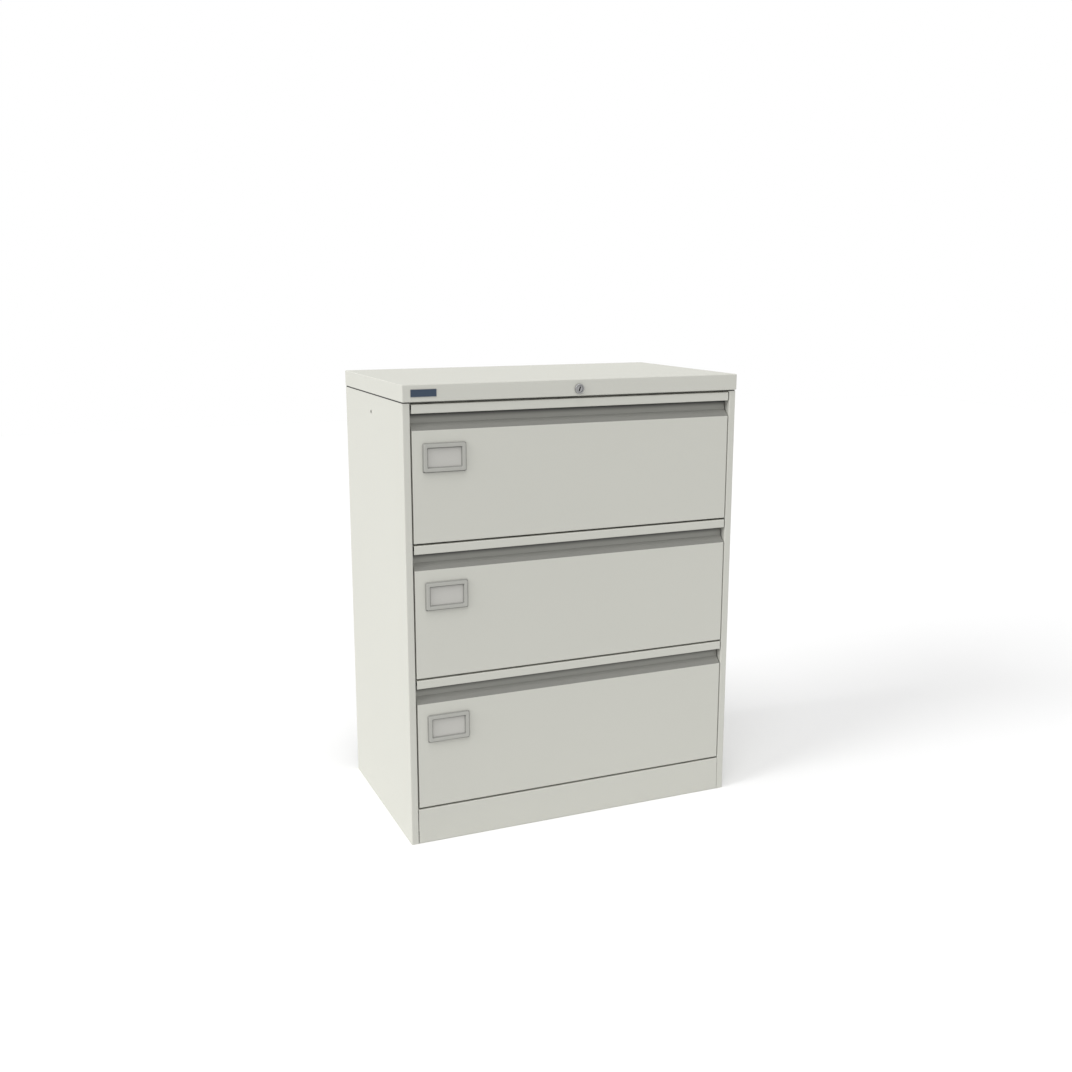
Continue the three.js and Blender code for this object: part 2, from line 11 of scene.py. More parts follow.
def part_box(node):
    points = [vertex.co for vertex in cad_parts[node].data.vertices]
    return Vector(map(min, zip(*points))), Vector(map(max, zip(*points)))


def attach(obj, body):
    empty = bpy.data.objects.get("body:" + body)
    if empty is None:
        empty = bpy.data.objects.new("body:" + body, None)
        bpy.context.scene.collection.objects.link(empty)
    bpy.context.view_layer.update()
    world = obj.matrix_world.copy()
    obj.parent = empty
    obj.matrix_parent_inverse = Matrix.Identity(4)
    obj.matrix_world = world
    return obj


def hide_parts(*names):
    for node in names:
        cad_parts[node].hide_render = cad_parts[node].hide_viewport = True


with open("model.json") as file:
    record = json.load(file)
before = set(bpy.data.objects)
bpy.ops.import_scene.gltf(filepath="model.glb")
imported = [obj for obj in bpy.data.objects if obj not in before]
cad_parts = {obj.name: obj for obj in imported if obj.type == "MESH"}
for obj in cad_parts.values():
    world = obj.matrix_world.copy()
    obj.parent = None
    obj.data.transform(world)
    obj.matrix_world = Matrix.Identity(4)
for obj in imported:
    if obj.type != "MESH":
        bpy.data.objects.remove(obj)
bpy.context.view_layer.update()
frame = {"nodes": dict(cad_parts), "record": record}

bl_info = {
    "name": "Lateral filing cabinet",
    "version": (1, 0, 0),
    "blender": (4, 5, 0),
    "location": "View3D > Sidebar > Cabinet",
    "description": "Models and dresses a lateral filing cabinet with three drawers",
    "category": "Object",
}

MM = 0.001
NEAR = 0.02 * MM
LEVELS = ("bottom", "middle", "top")
SIDES = ("left", "right")
SMOOTH_ANGLE = math.radians(35)
CUT_ANGLE = math.radians(55)
FLAT_ANGLE = math.radians(0.5)
QUARTER_TURN = math.pi / 2
BEND_STEPS = 6
HOLDER_PROFILE = 0.38
LAMP_DISTANCE = 3
LAMPS = ("overhead", "front", "side")


# Settings that a user would change

def length(name, description, millimetres):
    """A length whose default is written in millimetres."""
    return FloatProperty(
        name=name, description=description, default=millimetres * MM, unit="LENGTH", subtype="DISTANCE"
    )


def angle(name, description, degrees):
    """An angle whose default is written in degrees."""
    return FloatProperty(
        name=name, description=description, default=math.radians(degrees), unit="ROTATION", subtype="ANGLE"
    )


def share(name, description, default):
    """A share from 0 to 1."""
    return FloatProperty(name=name, description=description, default=default, min=0, max=1, subtype="FACTOR")


def from_screen(red, green, blue):
    """The linear colour of a screen colour from 0 to 255."""
    return tuple(((part / 255 + 0.055) / 1.055) ** 2.4 for part in (red, green, blue))


def colour(name, description, red, green, blue):
    """A colour whose default is written as a screen colour."""
    return FloatVectorProperty(
        name=name, description=description, default=from_screen(red, green, blue),
        subtype="COLOR", size=3, min=0, max=1,
    )


class SheetSettings(bpy.types.PropertyGroup):
    """Sheet steel and how it is folded"""

    thickness: length("Thickness", "Thickness of the outer sheet", 0.9)
    inner_thickness: length("Inner thickness", "Thickness of the sheet inside the drawers", 0.8)
    bend: length("Inside bend", "Inside radius of a fold", 1.2)
    channel: length("Channel thickness", "Thickness of the slides' channels", 1.2)
    channel_bend: length("Channel bend", "Inside radius of a fold in a slide or catch", 0.6)
    edge: length("Edge rounding", "Rounding that the paint gives a cut edge", 0.2)
    seat: length("Seat", "Gap where two pieces meet", 0.3)


class CarcassSettings(bpy.types.PropertyGroup):
    """Lid, side panels and plinth"""

    lid_corner: length("Lid corner", "Radius of the lid's upright corners", 3)
    lid_edge: length("Lid edge", "Radius of the lid's long edges", 2)
    lid_return: length("Lid return", "Depth of the lid's folded-under edge at the sides and back", 14)
    lid_front_return: length("Lid front return", "Depth of the lid's folded-under front edge", 34)
    seal_inset: length("Seal inset", "How far the strip in the gap under the lid is set back", 1)
    seal_width: length("Seal width", "Width of the strip in the gap under the lid", 2)
    stile_width: length("Stile width", "Width of the side panel's front stile", 16.5)
    stile_return: length("Stile return", "Depth of the fold behind the stile", 20)
    hole_radius: length("Hole radius", "Radius of the linking hole in each side", 4.2)
    hole_y: length("Hole place", "Place of the linking hole, front to back", 13)
    hole_z: length("Hole height", "Height of the linking hole", 938.6)
    weld_radius: length("Weld radius", "Radius of a spot weld's dent in the rear flange", 2.6)
    weld_depth: length("Weld depth", "Depth of a spot weld's dent", 0.45)
    weld_pitch: length("Weld pitch", "Distance between two spot welds", 120)
    plinth_foot: length("Plinth foot", "Depth of the plinth's folded-under foot", 18)


class DrawerSettings(bpy.types.PropertyGroup):
    """Drawer front with its folded grip, and the box behind it"""

    face: length("Face", "Height of the flat face below the grip", 239.6)
    flange: length("Flange", "Depth of the folds round the face", 18)
    grip_depth: length("Grip depth", "Depth of the grip behind the face", 16)
    grip_rise: length("Grip rise", "Height of the grip's sloped floor", 15)
    lip: length("Lip", "Height of the strip above the grip", 19)
    lip_return: length("Lip return", "Depth of the fold under the strip", 4.4)
    lip_hem: length("Lip hem", "Height of the hem behind the strip", 8)
    tray_hem: length("Tray hem", "Width of the fold along the tray's walls", 8)
    rail_depth: length("File rail depth", "Width of the rail that files hang on", 12)
    rail_drop: length("File rail drop", "Height of the file rail's turned-down edge", 10)
    catch_left: length("Catch place", "From the cabinet's middle to the lock's catch", 8.74)
    catch_width: length("Catch width", "Width of the lock's catch", 21)
    catch_bottom: length("Catch bottom", "Height of the catch's lower edge in the drawer", 181)
    catch_top: length("Catch top", "Height of the catch's top in the drawer", 194.5)
    catch_sheet: length("Catch thickness", "Thickness of the catch", 1.5)


class SlideSettings(bpy.types.PropertyGroup):
    """Telescopic slides and their rivets"""

    lip: length("Lip", "Height of the lips along a channel's open side", 2.5)
    slot_length: length("Slot length", "Length of the slots in the middle channel", 16)
    slot_height: length("Slot height", "Height of the slots in the middle channel", 6)
    slot_pitch: length("Slot pitch", "Distance between two slots", 88)
    rivet_head: length("Rivet head", "Radius of a rivet's head", 3.6)
    rivet_rise: length("Rivet rise", "Height of a rivet's head", 1.7)
    rivet_pitch: length("Rivet pitch", "Distance between two rivets", 92)
    rivet_start: length("First rivet", "From the slide's front end to the first rivet", 18)


class FittingSettings(bpy.types.PropertyGroup):
    """Card holders, lock and plate"""

    holder_border: length("Holder border", "Width of the card holder's frame", 11.5)
    holder_depth: length("Holder depth", "Height of the frame's crest over the drawer", 5.2)
    holder_slope: length("Holder slope", "Width of the slopes on both sides of the frame's crest", 3.8)
    holder_corner: length("Holder corner", "Radius of the frame's outer corners", 4)
    window_corner: length("Window corner", "Radius of the window's corners", 1)
    card_tuck: length("Card tuck", "How far the card runs behind the frame", 4)
    housing_radius: length("Lock housing", "Radius of the lock's sleeve", 9)
    bore_radius: length("Lock bore", "Radius of the bore in the housing", 7.8)
    bezel_round: length("Bezel rounding", "Rounding of the bezel's front edge", 1.2)
    keyway_width: length("Keyway width", "Width of the keyway", 2.8)
    keyway_height: length("Keyway height", "Height of the keyway", 10.5)
    keyway_depth: length("Keyway depth", "Depth of the keyway", 8)
    keyway_slant: angle("Keyway slant", "How far the keyway leans to the right when the lock is open", 19)
    plate_left: length("Plate inset", "From the lid's left end to the plate", 18)
    plate_bottom: length("Plate height", "From the lid's lower edge to the plate", 9.9)
    plate_width: length("Plate width", "Width of the bare plate", 57.3)
    plate_height: length("Plate depth", "Height of the bare plate", 16.7)
    plate_thickness: length("Plate thickness", "How far the plate stands off the lid", 0.8)


class ColourSettings(bpy.types.PropertyGroup):
    """Colours of the finishes"""

    paint: colour("Paint", "Light warm grey powder coat", 198, 198, 190)
    zinc: colour("Zinc", "Bright zinc plate", 196, 198, 200)
    chrome: colour("Chrome", "Satin chrome plate", 156, 156, 156)
    # The keyway's dark colour is painted shade for the deep slot.
    keyway: colour("Keyway", "Oiled inside of the keyway", 40, 38, 36)
    holder: colour("Holder", "Moulded grey plastic", 170, 170, 164)
    card: colour("Card", "Plain card", 190, 189, 184)
    nylon: colour("Nylon", "Natural nylon", 228, 226, 216)
    # Also the black of the strips under the lid, where it stands in for the shade in that gap.
    rubber_and_gap_shade: colour("Rubber", "Black moulded pad and strip", 38, 38, 38)
    plate: colour("Plate", "Plain dark plate", 52, 66, 84)
    # Painted shade inside the grip: these shares darken the paint on the grip's slope, and most of all up behind
    # the lip, where shade falls
    grip_painted_shade: share("Painted shade in the grip", "How light the thin coat inside the grip is", 0.57)
    slope_painted_shade: share("Painted shade on the slope", "How light the coat is at the lower edge of the grip's slope", 0.36)
    lip_painted_shade: share("Painted shade behind the lip", "How much of that coat is left up behind the lip", 0.06)
    # Painted shade on the slopes of the card holder's frame
    holder_shade: share("Holder slopes", "How light the slopes of the holder's frame are", 0.57)
    # Painted shade: darkens the undersides of the holder's frame
    holder_under: share("Holder undersides", "How light the frame's undersides are, where no dust lies", 0.5)


class StudioSettings(bpy.types.PropertyGroup):
    """Camera, light and floor"""

    camera: FloatVectorProperty(
        name="Camera", description="Place of the camera", default=(-1.0967, -2.5801, 1.2145),
        unit="LENGTH", subtype="TRANSLATION", size=3,
    )
    turn: angle("Turn", "How far the camera turns to the right of straight ahead", 22.968)
    tilt: angle("Tilt", "How far the camera looks down", 11.904)
    lens: FloatProperty(name="Lens", description="Focal length", default=39.89, unit="CAMERA")
    overhead: FloatProperty(name="Overhead light", description="Strength of the light above", default=0.8)
    overhead_from: angle("Overhead from", "Compass angle of the light above, left of the front", 0)
    overhead_height: angle("Overhead height", "Height of the light above over the horizon", 80)
    overhead_spread: angle("Overhead spread", "Apparent size of the light above", 20)
    front: FloatProperty(name="Front light", description="Strength of the light in front", default=0.75)
    front_from: angle("Front from", "Compass angle of the light in front, left of the front", 30)
    front_height: angle("Front height", "Height of the light in front over the horizon", 60)
    front_spread: angle("Front spread", "Apparent size of the light in front", 30)
    side: FloatProperty(name="Side light", description="Strength of the light at the left", default=1.78)
    side_from: angle("Side from", "Compass angle of the light at the left, left of the front", 82)
    side_height: angle("Side height", "Height of the light at the left over the horizon", 25)
    side_spread: angle("Side spread", "Apparent size of the light at the left", 30)
    ambient: FloatProperty(name="Ambient", description="Brightness of the surrounding light", default=0.49)
    floor: FloatProperty(name="Floor", description="Lightness of the floor", default=0.88)
    floor_size: length("Floor size", "Side of the floor", 16000)


# Modelling helpers

def activate(piece):
    """Makes a piece the only one selected."""
    bpy.ops.object.select_all(action="DESELECT")
    piece.select_set(True)
    bpy.context.view_layer.objects.active = piece


class Editing:
    """Keeps a piece open in edit mode for the length of a with block"""

    def __init__(self, piece):
        self.piece = piece

    def __enter__(self):
        activate(self.piece)
        bpy.ops.object.mode_set(mode="EDIT")

    def __exit__(self, *error):
        bpy.ops.object.mode_set(mode="OBJECT")


def pick(kind, test):
    """Selects only the faces or edges of the open mesh that pass a test."""
    bpy.ops.mesh.select_mode(type=kind)
    bpy.ops.mesh.select_all(action="DESELECT")
    data = bpy.context.object.data
    mesh = bmesh.from_edit_mesh(data)
    elements = mesh.faces if kind == "FACE" else mesh.edges
    picked = [element for element in elements if test(element)]
    if not picked:
        raise RuntimeError(f"nothing to pick on {bpy.context.object.name}")
    for element in picked:
        element.select_set(True)
    mesh.select_flush_mode()
    bmesh.update_edit_mesh(data)


def middle_of(edge):
    """The middle of an edge."""
    return (edge.verts[0].co + edge.verts[1].co) / 2


def runs_along(edge, axis):
    """True where an edge runs along an axis, 0 to 2 for X to Z."""
    run = edge.verts[0].co - edge.verts[1].co
    return abs(abs(run[axis]) - run.length) < NEAR


def lies_at(edge, axis, place):
    """True where both ends of an edge have one coordinate in common."""
    return all(abs(vert.co[axis] - place) < NEAR for vert in edge.verts)


def face_outwards():
    """Turns the faces of the open mesh outwards."""
    bpy.ops.mesh.select_all(action="SELECT")
    bpy.ops.mesh.normals_make_consistent(inside=False)


def settle(name):
    """Names the active object and moves its place, turn and size into its mesh."""
    piece = bpy.context.object
    piece.name = name
    piece.data.name = name
    bpy.ops.object.transform_apply(location=True, rotation=True, scale=True)
    return piece


def add_box(name, low, high):
    """Adds a box between two corners."""
    low, high = Vector(low), Vector(high)
    bpy.ops.object.select_all(action="DESELECT")
    bpy.ops.mesh.primitive_cube_add(size=1, location=(low + high) / 2)
    bpy.context.object.scale = high - low
    return settle(name)


def turn_piece(name, centre, axis, profile, sides=48):
    """Turns a piece about an axis. The profile is a list of radii and distances along the axis."""
    centre, axis = Vector(centre), Vector(axis)
    radius, reach = profile[0]
    facing = Vector((0, 0, 1)).rotation_difference(axis).to_euler()
    bpy.ops.object.select_all(action="DESELECT")
    bpy.ops.mesh.primitive_circle_add(
        vertices=sides, radius=radius, fill_type="NGON", location=centre + axis * reach, rotation=facing
    )
    piece = settle(name)
    with Editing(piece):
        bpy.ops.mesh.select_all(action="SELECT")
        for next_radius, next_reach in profile[1:]:
            step = axis * (next_reach - reach)
            bpy.ops.mesh.extrude_region_move(TRANSFORM_OT_translate={"value": step})
            scale = next_radius / radius
            bpy.ops.transform.resize(value=(scale, scale, scale), center_override=centre + axis * next_reach)
            radius, reach = next_radius, next_reach
        face_outwards()
    return piece


SWEEPS = {
    "X": lambda u, v, w: Vector((w, u, v)),
    "Y": lambda u, v, w: Vector((u, w, v)),
    "Z": lambda u, v, w: Vector((u, v, w)),
}


def fold_sheet(name, sweep, start, stop, path, side, thickness, bend):
    """Folds a sheet. The path is one skin in section, with the metal to its left where side is 1."""
    place = SWEEPS[sweep]
    middle = (start + stop) / 2
    corners = [Vector(corner) for corner in path]
    flange = corners[1] - corners[0]
    along = place(0, 0, 1)
    across = place(*flange, 0).normalized()
    facing = Matrix((along, across, along.cross(across))).transposed()
    bpy.ops.object.select_all(action="DESELECT")
    bpy.ops.mesh.primitive_plane_add(
        size=1, location=place(*(corners[0] + flange / 2), middle), rotation=facing.to_euler()
    )
    bpy.context.object.scale = (stop - start, flange.length, 1)
    piece = settle(name)
    into_metal = place(-flange.y * side, flange.x * side, 0)

    def pick_fold(corner):
        point = place(*corner, middle)
        pick("EDGE", lambda edge: (middle_of(edge) - point).length < NEAR)

    with Editing(piece):
        for corner, following in zip(corners[1:], corners[2:]):
            pick_fold(corner)
            step = place(*(following - corner), 0)
            bpy.ops.mesh.extrude_region_move(TRANSFORM_OT_translate={"value": step})
        for before, corner, after in zip(corners, corners[1:], corners[2:]):
            arriving = (corner - before).normalized()
            leaving = (after - corner).normalized()
            turn = math.atan2(arriving.cross(leaving), arriving.dot(leaving))
            radius = bend + thickness if turn * side > 0 else bend
            pick_fold(corner)
            bpy.ops.mesh.bevel(offset=radius * math.tan(abs(turn) / 2), segments=BEND_STEPS, affect="EDGES")
        face_outwards()
        mesh = bmesh.from_edit_mesh(piece.data)
        flange_centre = place(*(corners[0] + flange / 2), middle)
        first = min(mesh.faces, key=lambda face: (face.calc_center_median() - flange_centre).length)
        if first.normal.dot(into_metal) > 0:
            bpy.ops.mesh.flip_normals()
    apply_modifier(piece, "SOLIDIFY", thickness=thickness, offset=-1, use_even_offset=True)
    return piece


def apply_modifier(piece, kind, **settings):
    """Adds a modifier with its settings and applies it."""
    activate(piece)
    modifier = piece.modifiers.new(kind.lower(), kind)
    for key, value in settings.items():
        setattr(modifier, key, value)
    bpy.ops.object.modifier_apply(modifier=modifier.name)


def combine(piece, tool, operation):
    """Cuts a piece with a tool, or joins the tool to it, and removes the tool."""
    apply_modifier(piece, "BOOLEAN", object=tool, operation=operation, solver="EXACT")
    bpy.data.objects.remove(tool)


def clean(piece):
    """Merges doubled points and dissolves the seams that joining leaves in flat faces."""
    with Editing(piece):
        bpy.ops.mesh.select_all(action="SELECT")
        bpy.ops.mesh.remove_doubles(threshold=NEAR)
        bpy.ops.mesh.dissolve_limited(angle_limit=FLAT_ANGLE)


def soften(piece, width, steps=2):
    """Rounds a piece's outer cut edges."""
    def is_cut(edge):
        return edge.is_manifold and edge.is_convex and edge.calc_face_angle() > CUT_ANGLE

    with Editing(piece):
        pick("EDGE", is_cut)
        bpy.ops.mesh.bevel(offset=width, segments=steps, affect="EDGES", clamp_overlap=True)


def shade(piece):
    """Shades folds and roundings smooth, and keeps flat faces flat."""
    activate(piece)
    bpy.ops.object.shade_smooth_by_angle(angle=SMOOTH_ANGLE)
    apply_modifier(piece, "WEIGHTED_NORMAL", keep_sharp=True)


def copy_piece(piece, name, shift=(0, 0, 0)):
    """Copies a piece, mesh and all, to another place."""
    activate(piece)
    bpy.ops.object.duplicate(linked=False)
    bpy.context.object.location = shift
    return settle(name)


def join_pieces(piece, others):
    """Joins other pieces to a piece, as loose shells of one mesh."""
    activate(piece)
    for other in others:
        other.select_set(True)
    bpy.ops.object.join()
    return piece


def mirror_piece(piece, name):
    """Copies a piece to its mirror image across the middle of the cabinet."""
    activate(piece)
    bpy.ops.object.duplicate(linked=False)
    bpy.context.object.scale.x = -1
    image = settle(name)
    with Editing(image):
        face_outwards()
    return image


def hand_over(piece, body, slot, *nodes):
    """Gives a piece its finish and the body that carries it, and hides the solids that it stands for."""
    dress(piece, slot)
    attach(piece, body)
    if nodes:
        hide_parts(*nodes)


def repeat_by_drawer(piece, name, slot, *nodes, body="drawer"):
    """Copies the bottom drawer's piece to the drawers above. The names leave out the drawer's own."""
    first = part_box("bottom_drawer_front")[0].z
    for level in LEVELS:
        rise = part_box(f"{level}_drawer_front")[0].z - first
        copy = copy_piece(piece, f"{level}_{name}", (0, 0, rise)) if rise else piece
        hand_over(copy, f"{level}_{body}", slot, *[f"{level}_{node}" for node in nodes])


def finish_faces(piece, name, test):
    """Gives the faces of a piece that pass a test another finish."""
    piece.data.materials.append(finish_named(name))
    with Editing(piece):
        pick("FACE", test)
        piece.active_material_index = len(piece.data.materials) - 1
        bpy.ops.object.material_slot_assign()


# Finishes

class Shade:
    """A value in a shader. Arithmetic on it adds Math nodes"""

    def __init__(self, nodes, socket):
        self.nodes = nodes
        self.socket = socket

    def __add__(self, other):
        return self.nodes.math("ADD", self, other)

    def __radd__(self, other):
        return self.nodes.math("ADD", other, self)

    def __sub__(self, other):
        return self.nodes.math("SUBTRACT", self, other)

    def __rsub__(self, other):
        return self.nodes.math("SUBTRACT", other, self)

    def __mul__(self, other):
        return self.nodes.math("MULTIPLY", self, other)

    def __rmul__(self, other):
        return self.nodes.math("MULTIPLY", other, self)

    def __pow__(self, power):
        return self.nodes.math("POWER", self, power)

    def __gt__(self, edge):
        return self.nodes.math("GREATER_THAN", self, edge)


class Nodes:
    """Builds the node tree of a material or of the world"""

    def __init__(self, owner):
        owner.use_nodes = True
        self.tree = owner.node_tree
        self.tree.nodes.clear()

    def add(self, kind, settings=None, inputs=None, output=0):
        """Adds a node, sets it up, then gives its sockets their values or links. Returns one output."""
        node = self.tree.nodes.new("ShaderNode" + kind)
        for key, value in (settings or {}).items():
            setattr(node, key, value)
        for key, value in (inputs or {}).items():
            if isinstance(value, Shade):
                self.tree.links.new(value.socket, node.inputs[key])
            else:
                node.inputs[key].default_value = value
        return Shade(self, node.outputs[output]) if node.outputs else None

    def math(self, operation, *values):
        return self.add("Math", {"operation": operation}, dict(enumerate(values)))

    def place(self):
        return self.add("TexCoord", output="Object")

    def part_of(self, place, axis):
        return self.add("SeparateXYZ", inputs={"Vector": place}, output=axis)

    def stretched(self, place, x, y, z):
        return self.add("Mapping", inputs={"Vector": place, "Scale": (x, y, z)})

    def noise(self, place, scale, detail=2.0):
        return self.add("TexNoise", inputs={"Vector": place, "Scale": scale, "Detail": detail})

    def tinted(self, colour, factor):
        """A fixed colour made lighter or darker by a value."""
        return self.add("VectorMath", {"operation": "SCALE"}, {"Vector": colour[:3], "Scale": factor})

    def mixed(self, share, first, second):
        """A mix of two colours."""
        return self.add("Mix", {"data_type": "RGBA"}, {0: share, 6: first, 7: second}, output=2)

    def fade(self, value, start, start_share, stop, stop_share):
        """A share that goes smoothly from one number to another while the value goes from start to stop."""
        return self.add(
            "MapRange", {"interpolation_type": "SMOOTHSTEP"},
            {"Value": value, "From Min": start, "From Max": stop, "To Min": start_share, "To Max": stop_share},
        )

    def bump(self, height, distance, strength=1.0):
        return self.add("Bump", inputs={"Height": height, "Distance": distance, "Strength": strength})

    def surface(self, **inputs):
        """The finished surface. Sockets are named in plain words with underscores for spaces."""
        named = {key.replace("_", " "): value for key, value in inputs.items()}
        shader = self.add("BsdfPrincipled", inputs=named)
        self.add("OutputMaterial", inputs={"Surface": shader})


def opaque(colour):
    """A colour with full opacity."""
    return (*colour[:3], 1)


def paint_tone(nodes):
    """Faint clouding and fine specks of the powder coat."""
    place = nodes.place()
    return 0.965 + 0.04 * nodes.noise(place, 2.1, 3) + 0.03 * nodes.noise(place, 1700, 1)


def coat(nodes, colours, tone):
    """Powder coat with orange peel, in a tone of the paint's colour."""
    place = nodes.place()
    peel = nodes.noise(place, 620, 2)
    cloud = nodes.noise(place, 2.1, 3)
    nodes.surface(
        Base_Color=nodes.tinted(colours.paint, tone),
        Roughness=0.60 + 0.06 * cloud + 0.06 * peel,
        Specular_IOR_Level=0.4,
        Normal=nodes.bump(peel, 0.16 * MM),
    )


def paint_finish(nodes, colours):
    """Powder coat over plain sheet"""
    coat(nodes, colours, paint_tone(nodes))


def grip_finish(nodes, colours):
    """Powder coat inside the grip, darkened with painted shade: darker towards the slope's lower edge and
    darkest up behind the lip, where the lip's shadow falls
    """
    drawer = bpy.context.scene.cabinet_drawers
    low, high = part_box("bottom_drawer_front")
    next_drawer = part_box("middle_drawer_front")[0].z
    face_top = low.z + drawer.face
    slope_top = face_top + drawer.grip_rise
    lip_bottom = high.z - drawer.lip
    height = nodes.math("WRAP", nodes.part_of(nodes.place(), "Z"), next_drawer, low.z)
    # painted shade: darker towards the slope's lower edge and darkest up behind the lip
    slope = nodes.fade(height, face_top, colours.slope_painted_shade, slope_top, colours.grip_painted_shade)
    under_lip = nodes.fade(height, lip_bottom - drawer.grip_rise, 1, lip_bottom, colours.lip_painted_shade)
    coat(nodes, colours, paint_tone(nodes) * slope * under_lip)


def zinc_finish(nodes, colours):
    """Zinc plate: rolled streaks along the slides and a faint cloudy passivation"""
    place = nodes.place()
    streak = nodes.noise(nodes.stretched(place, 900, 12, 900), 1, 3)
    cloud = nodes.noise(place, 28, 3)
    tone = 0.86 + 0.14 * streak + 0.14 * cloud
    nodes.surface(
        Base_Color=nodes.tinted(colours.zinc, tone),
        Metallic=0.9,
        Roughness=0.26 + 0.16 * streak + 0.1 * cloud,
        Normal=nodes.bump(streak, 0.02 * MM),
    )


def chrome_finish(nodes, colours):
    """Satin chrome with faint turning marks"""
    place = nodes.place()
    mark = nodes.noise(nodes.stretched(place, 500, 9000, 500), 1, 2)
    nodes.surface(
        Base_Color=nodes.tinted(colours.chrome, 0.94 + 0.08 * mark),
        Metallic=1.0,
        Roughness=0.24 + 0.12 * mark,
    )


def keyway_finish(nodes, colours):
    """Dark metal inside the keyway, with painted shade for the deep slot"""
    place = nodes.place()
    keyway_mottle = nodes.noise(place, 700, 2)
    nodes.surface(
        Base_Color=nodes.tinted(colours.keyway, 0.7 + 0.6 * keyway_mottle),
        Metallic=0.5,
        Roughness=0.5 + 0.2 * keyway_mottle,
    )


def plastic(nodes, colours, slope_tone):
    """Moulded plastic with a fine matt grain, with painted shade darkening the frame's slopes below its crest.
    """
    place = nodes.place()
    grain = nodes.noise(place, 2400, 2)
    flow = nodes.noise(place, 40, 2)
    depth = bpy.context.scene.cabinet_fittings.holder_depth
    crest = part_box("bottom_card_holder")[1].y - depth
    painted_slope_shade = nodes.fade(nodes.part_of(place, "Y"), crest, 1, crest + depth / 4, slope_tone)
    nodes.surface(
        Base_Color=nodes.tinted(colours.holder, painted_slope_shade * (0.95 + 0.06 * flow + 0.04 * grain)),
        Roughness=0.42 + 0.12 * grain,
        Normal=nodes.bump(grain, 0.03 * MM),
    )


def holder_finish(nodes, colours):
    """Plastic of the holder's frame"""
    plastic(nodes, colours, colours.holder_shade)


def holder_under_finish(nodes, colours):
    """Plastic of the frame's undersides, darkened with painted shade"""
    plastic(nodes, colours, colours.holder_shade * colours.holder_under)


def card_finish(nodes, colours):
    """Uncoated card with fibres"""
    place = nodes.place()
    fibre = nodes.noise(nodes.stretched(place, 500, 500, 1500), 1, 4)
    nodes.surface(
        Base_Color=nodes.tinted(colours.card, 0.94 + 0.1 * fibre),
        Roughness=0.85 + 0.1 * fibre,
        Normal=nodes.bump(fibre, 0.02 * MM),
    )


def nylon_finish(nodes, colours):
    """Moulded nylon, slightly waxy"""
    place = nodes.place()
    flow = nodes.noise(place, 90, 3)
    nodes.surface(
        Base_Color=nodes.tinted(colours.nylon, 0.94 + 0.1 * flow),
        Roughness=0.38 + 0.14 * flow,
        Normal=nodes.bump(flow, 0.04 * MM),
    )


def foot_finish(nodes, colours):
    """Black pad below, threaded zinc stud above"""
    place = nodes.place()
    height = nodes.part_of(place, "Z")
    grain = nodes.noise(place, 900, 2)
    stud = height > 13.2 * MM
    thread = nodes.math("SINE", height * (2 * math.pi / (1.25 * MM)))
    nodes.surface(
        Base_Color=nodes.mixed(
            stud, nodes.tinted(colours.rubber_and_gap_shade, 0.8 + 0.4 * grain), nodes.tinted(colours.zinc, 0.9 + 0.1 * grain)
        ),
        Metallic=0.9 * stud,
        Roughness=0.62 - 0.3 * stud + 0.1 * grain,
        Normal=nodes.bump(thread * stud, 0.3 * MM),
    )


def seal_finish(nodes, colours):
    """Black rubber strip with a fine grain, made black to stand in for the shade in the gap under the lid"""
    grain = nodes.noise(nodes.place(), 900, 2)
    nodes.surface(
        Base_Color=nodes.tinted(colours.rubber_and_gap_shade, 0.8 + 0.4 * grain),
        Roughness=0.7 + 0.2 * grain,
    )


def plate_finish(nodes, colours):
    """Plain dark plate with a fine brushed grain"""
    place = nodes.place()
    brushed = nodes.noise(nodes.stretched(place, 60, 4000, 4000), 1, 2)
    nodes.surface(
        Base_Color=nodes.tinted(colours.plate, 0.85 + 0.3 * brushed),
        Metallic=0.35,
        Roughness=0.3 + 0.15 * brushed,
    )


FINISHES = {
    "paint": paint_finish,
    "grip": grip_finish,
    "zinc": zinc_finish,
    "chrome": chrome_finish,
    "keyway": keyway_finish,
    "holder": holder_finish,
    "holder_under": holder_under_finish,
    "card": card_finish,
    "nylon": nylon_finish,
    "foot": foot_finish,
    "seal": seal_finish,
    "plate": plate_finish,
}


def finish_named(name):
    """The finish of that name, made when it is first asked for."""
    material = bpy.data.materials.get(name + "_finish")
    if material is None:
        material = bpy.data.materials.new(name + "_finish")
        FINISHES[name](Nodes(material), bpy.context.scene.cabinet_colours)
    return material


def dress(piece, name):
    """Gives a piece one finish all over."""
    piece.data.materials.clear()
    piece.data.materials.append(finish_named(name))


# Pieces

class CABINET_OT_frame(bpy.types.Operator):
    """Gives the solids that stay their finishes"""

    bl_idname = "cabinet.frame"
    bl_label = "Frame finishes"

    def execute(self, context):
        slots = {part["node"]: part["material_slot"] for part in frame["record"]["subparts"]}
        for name, node in frame["nodes"].items():
            dress(node, slots[name])
        return {"FINISHED"}


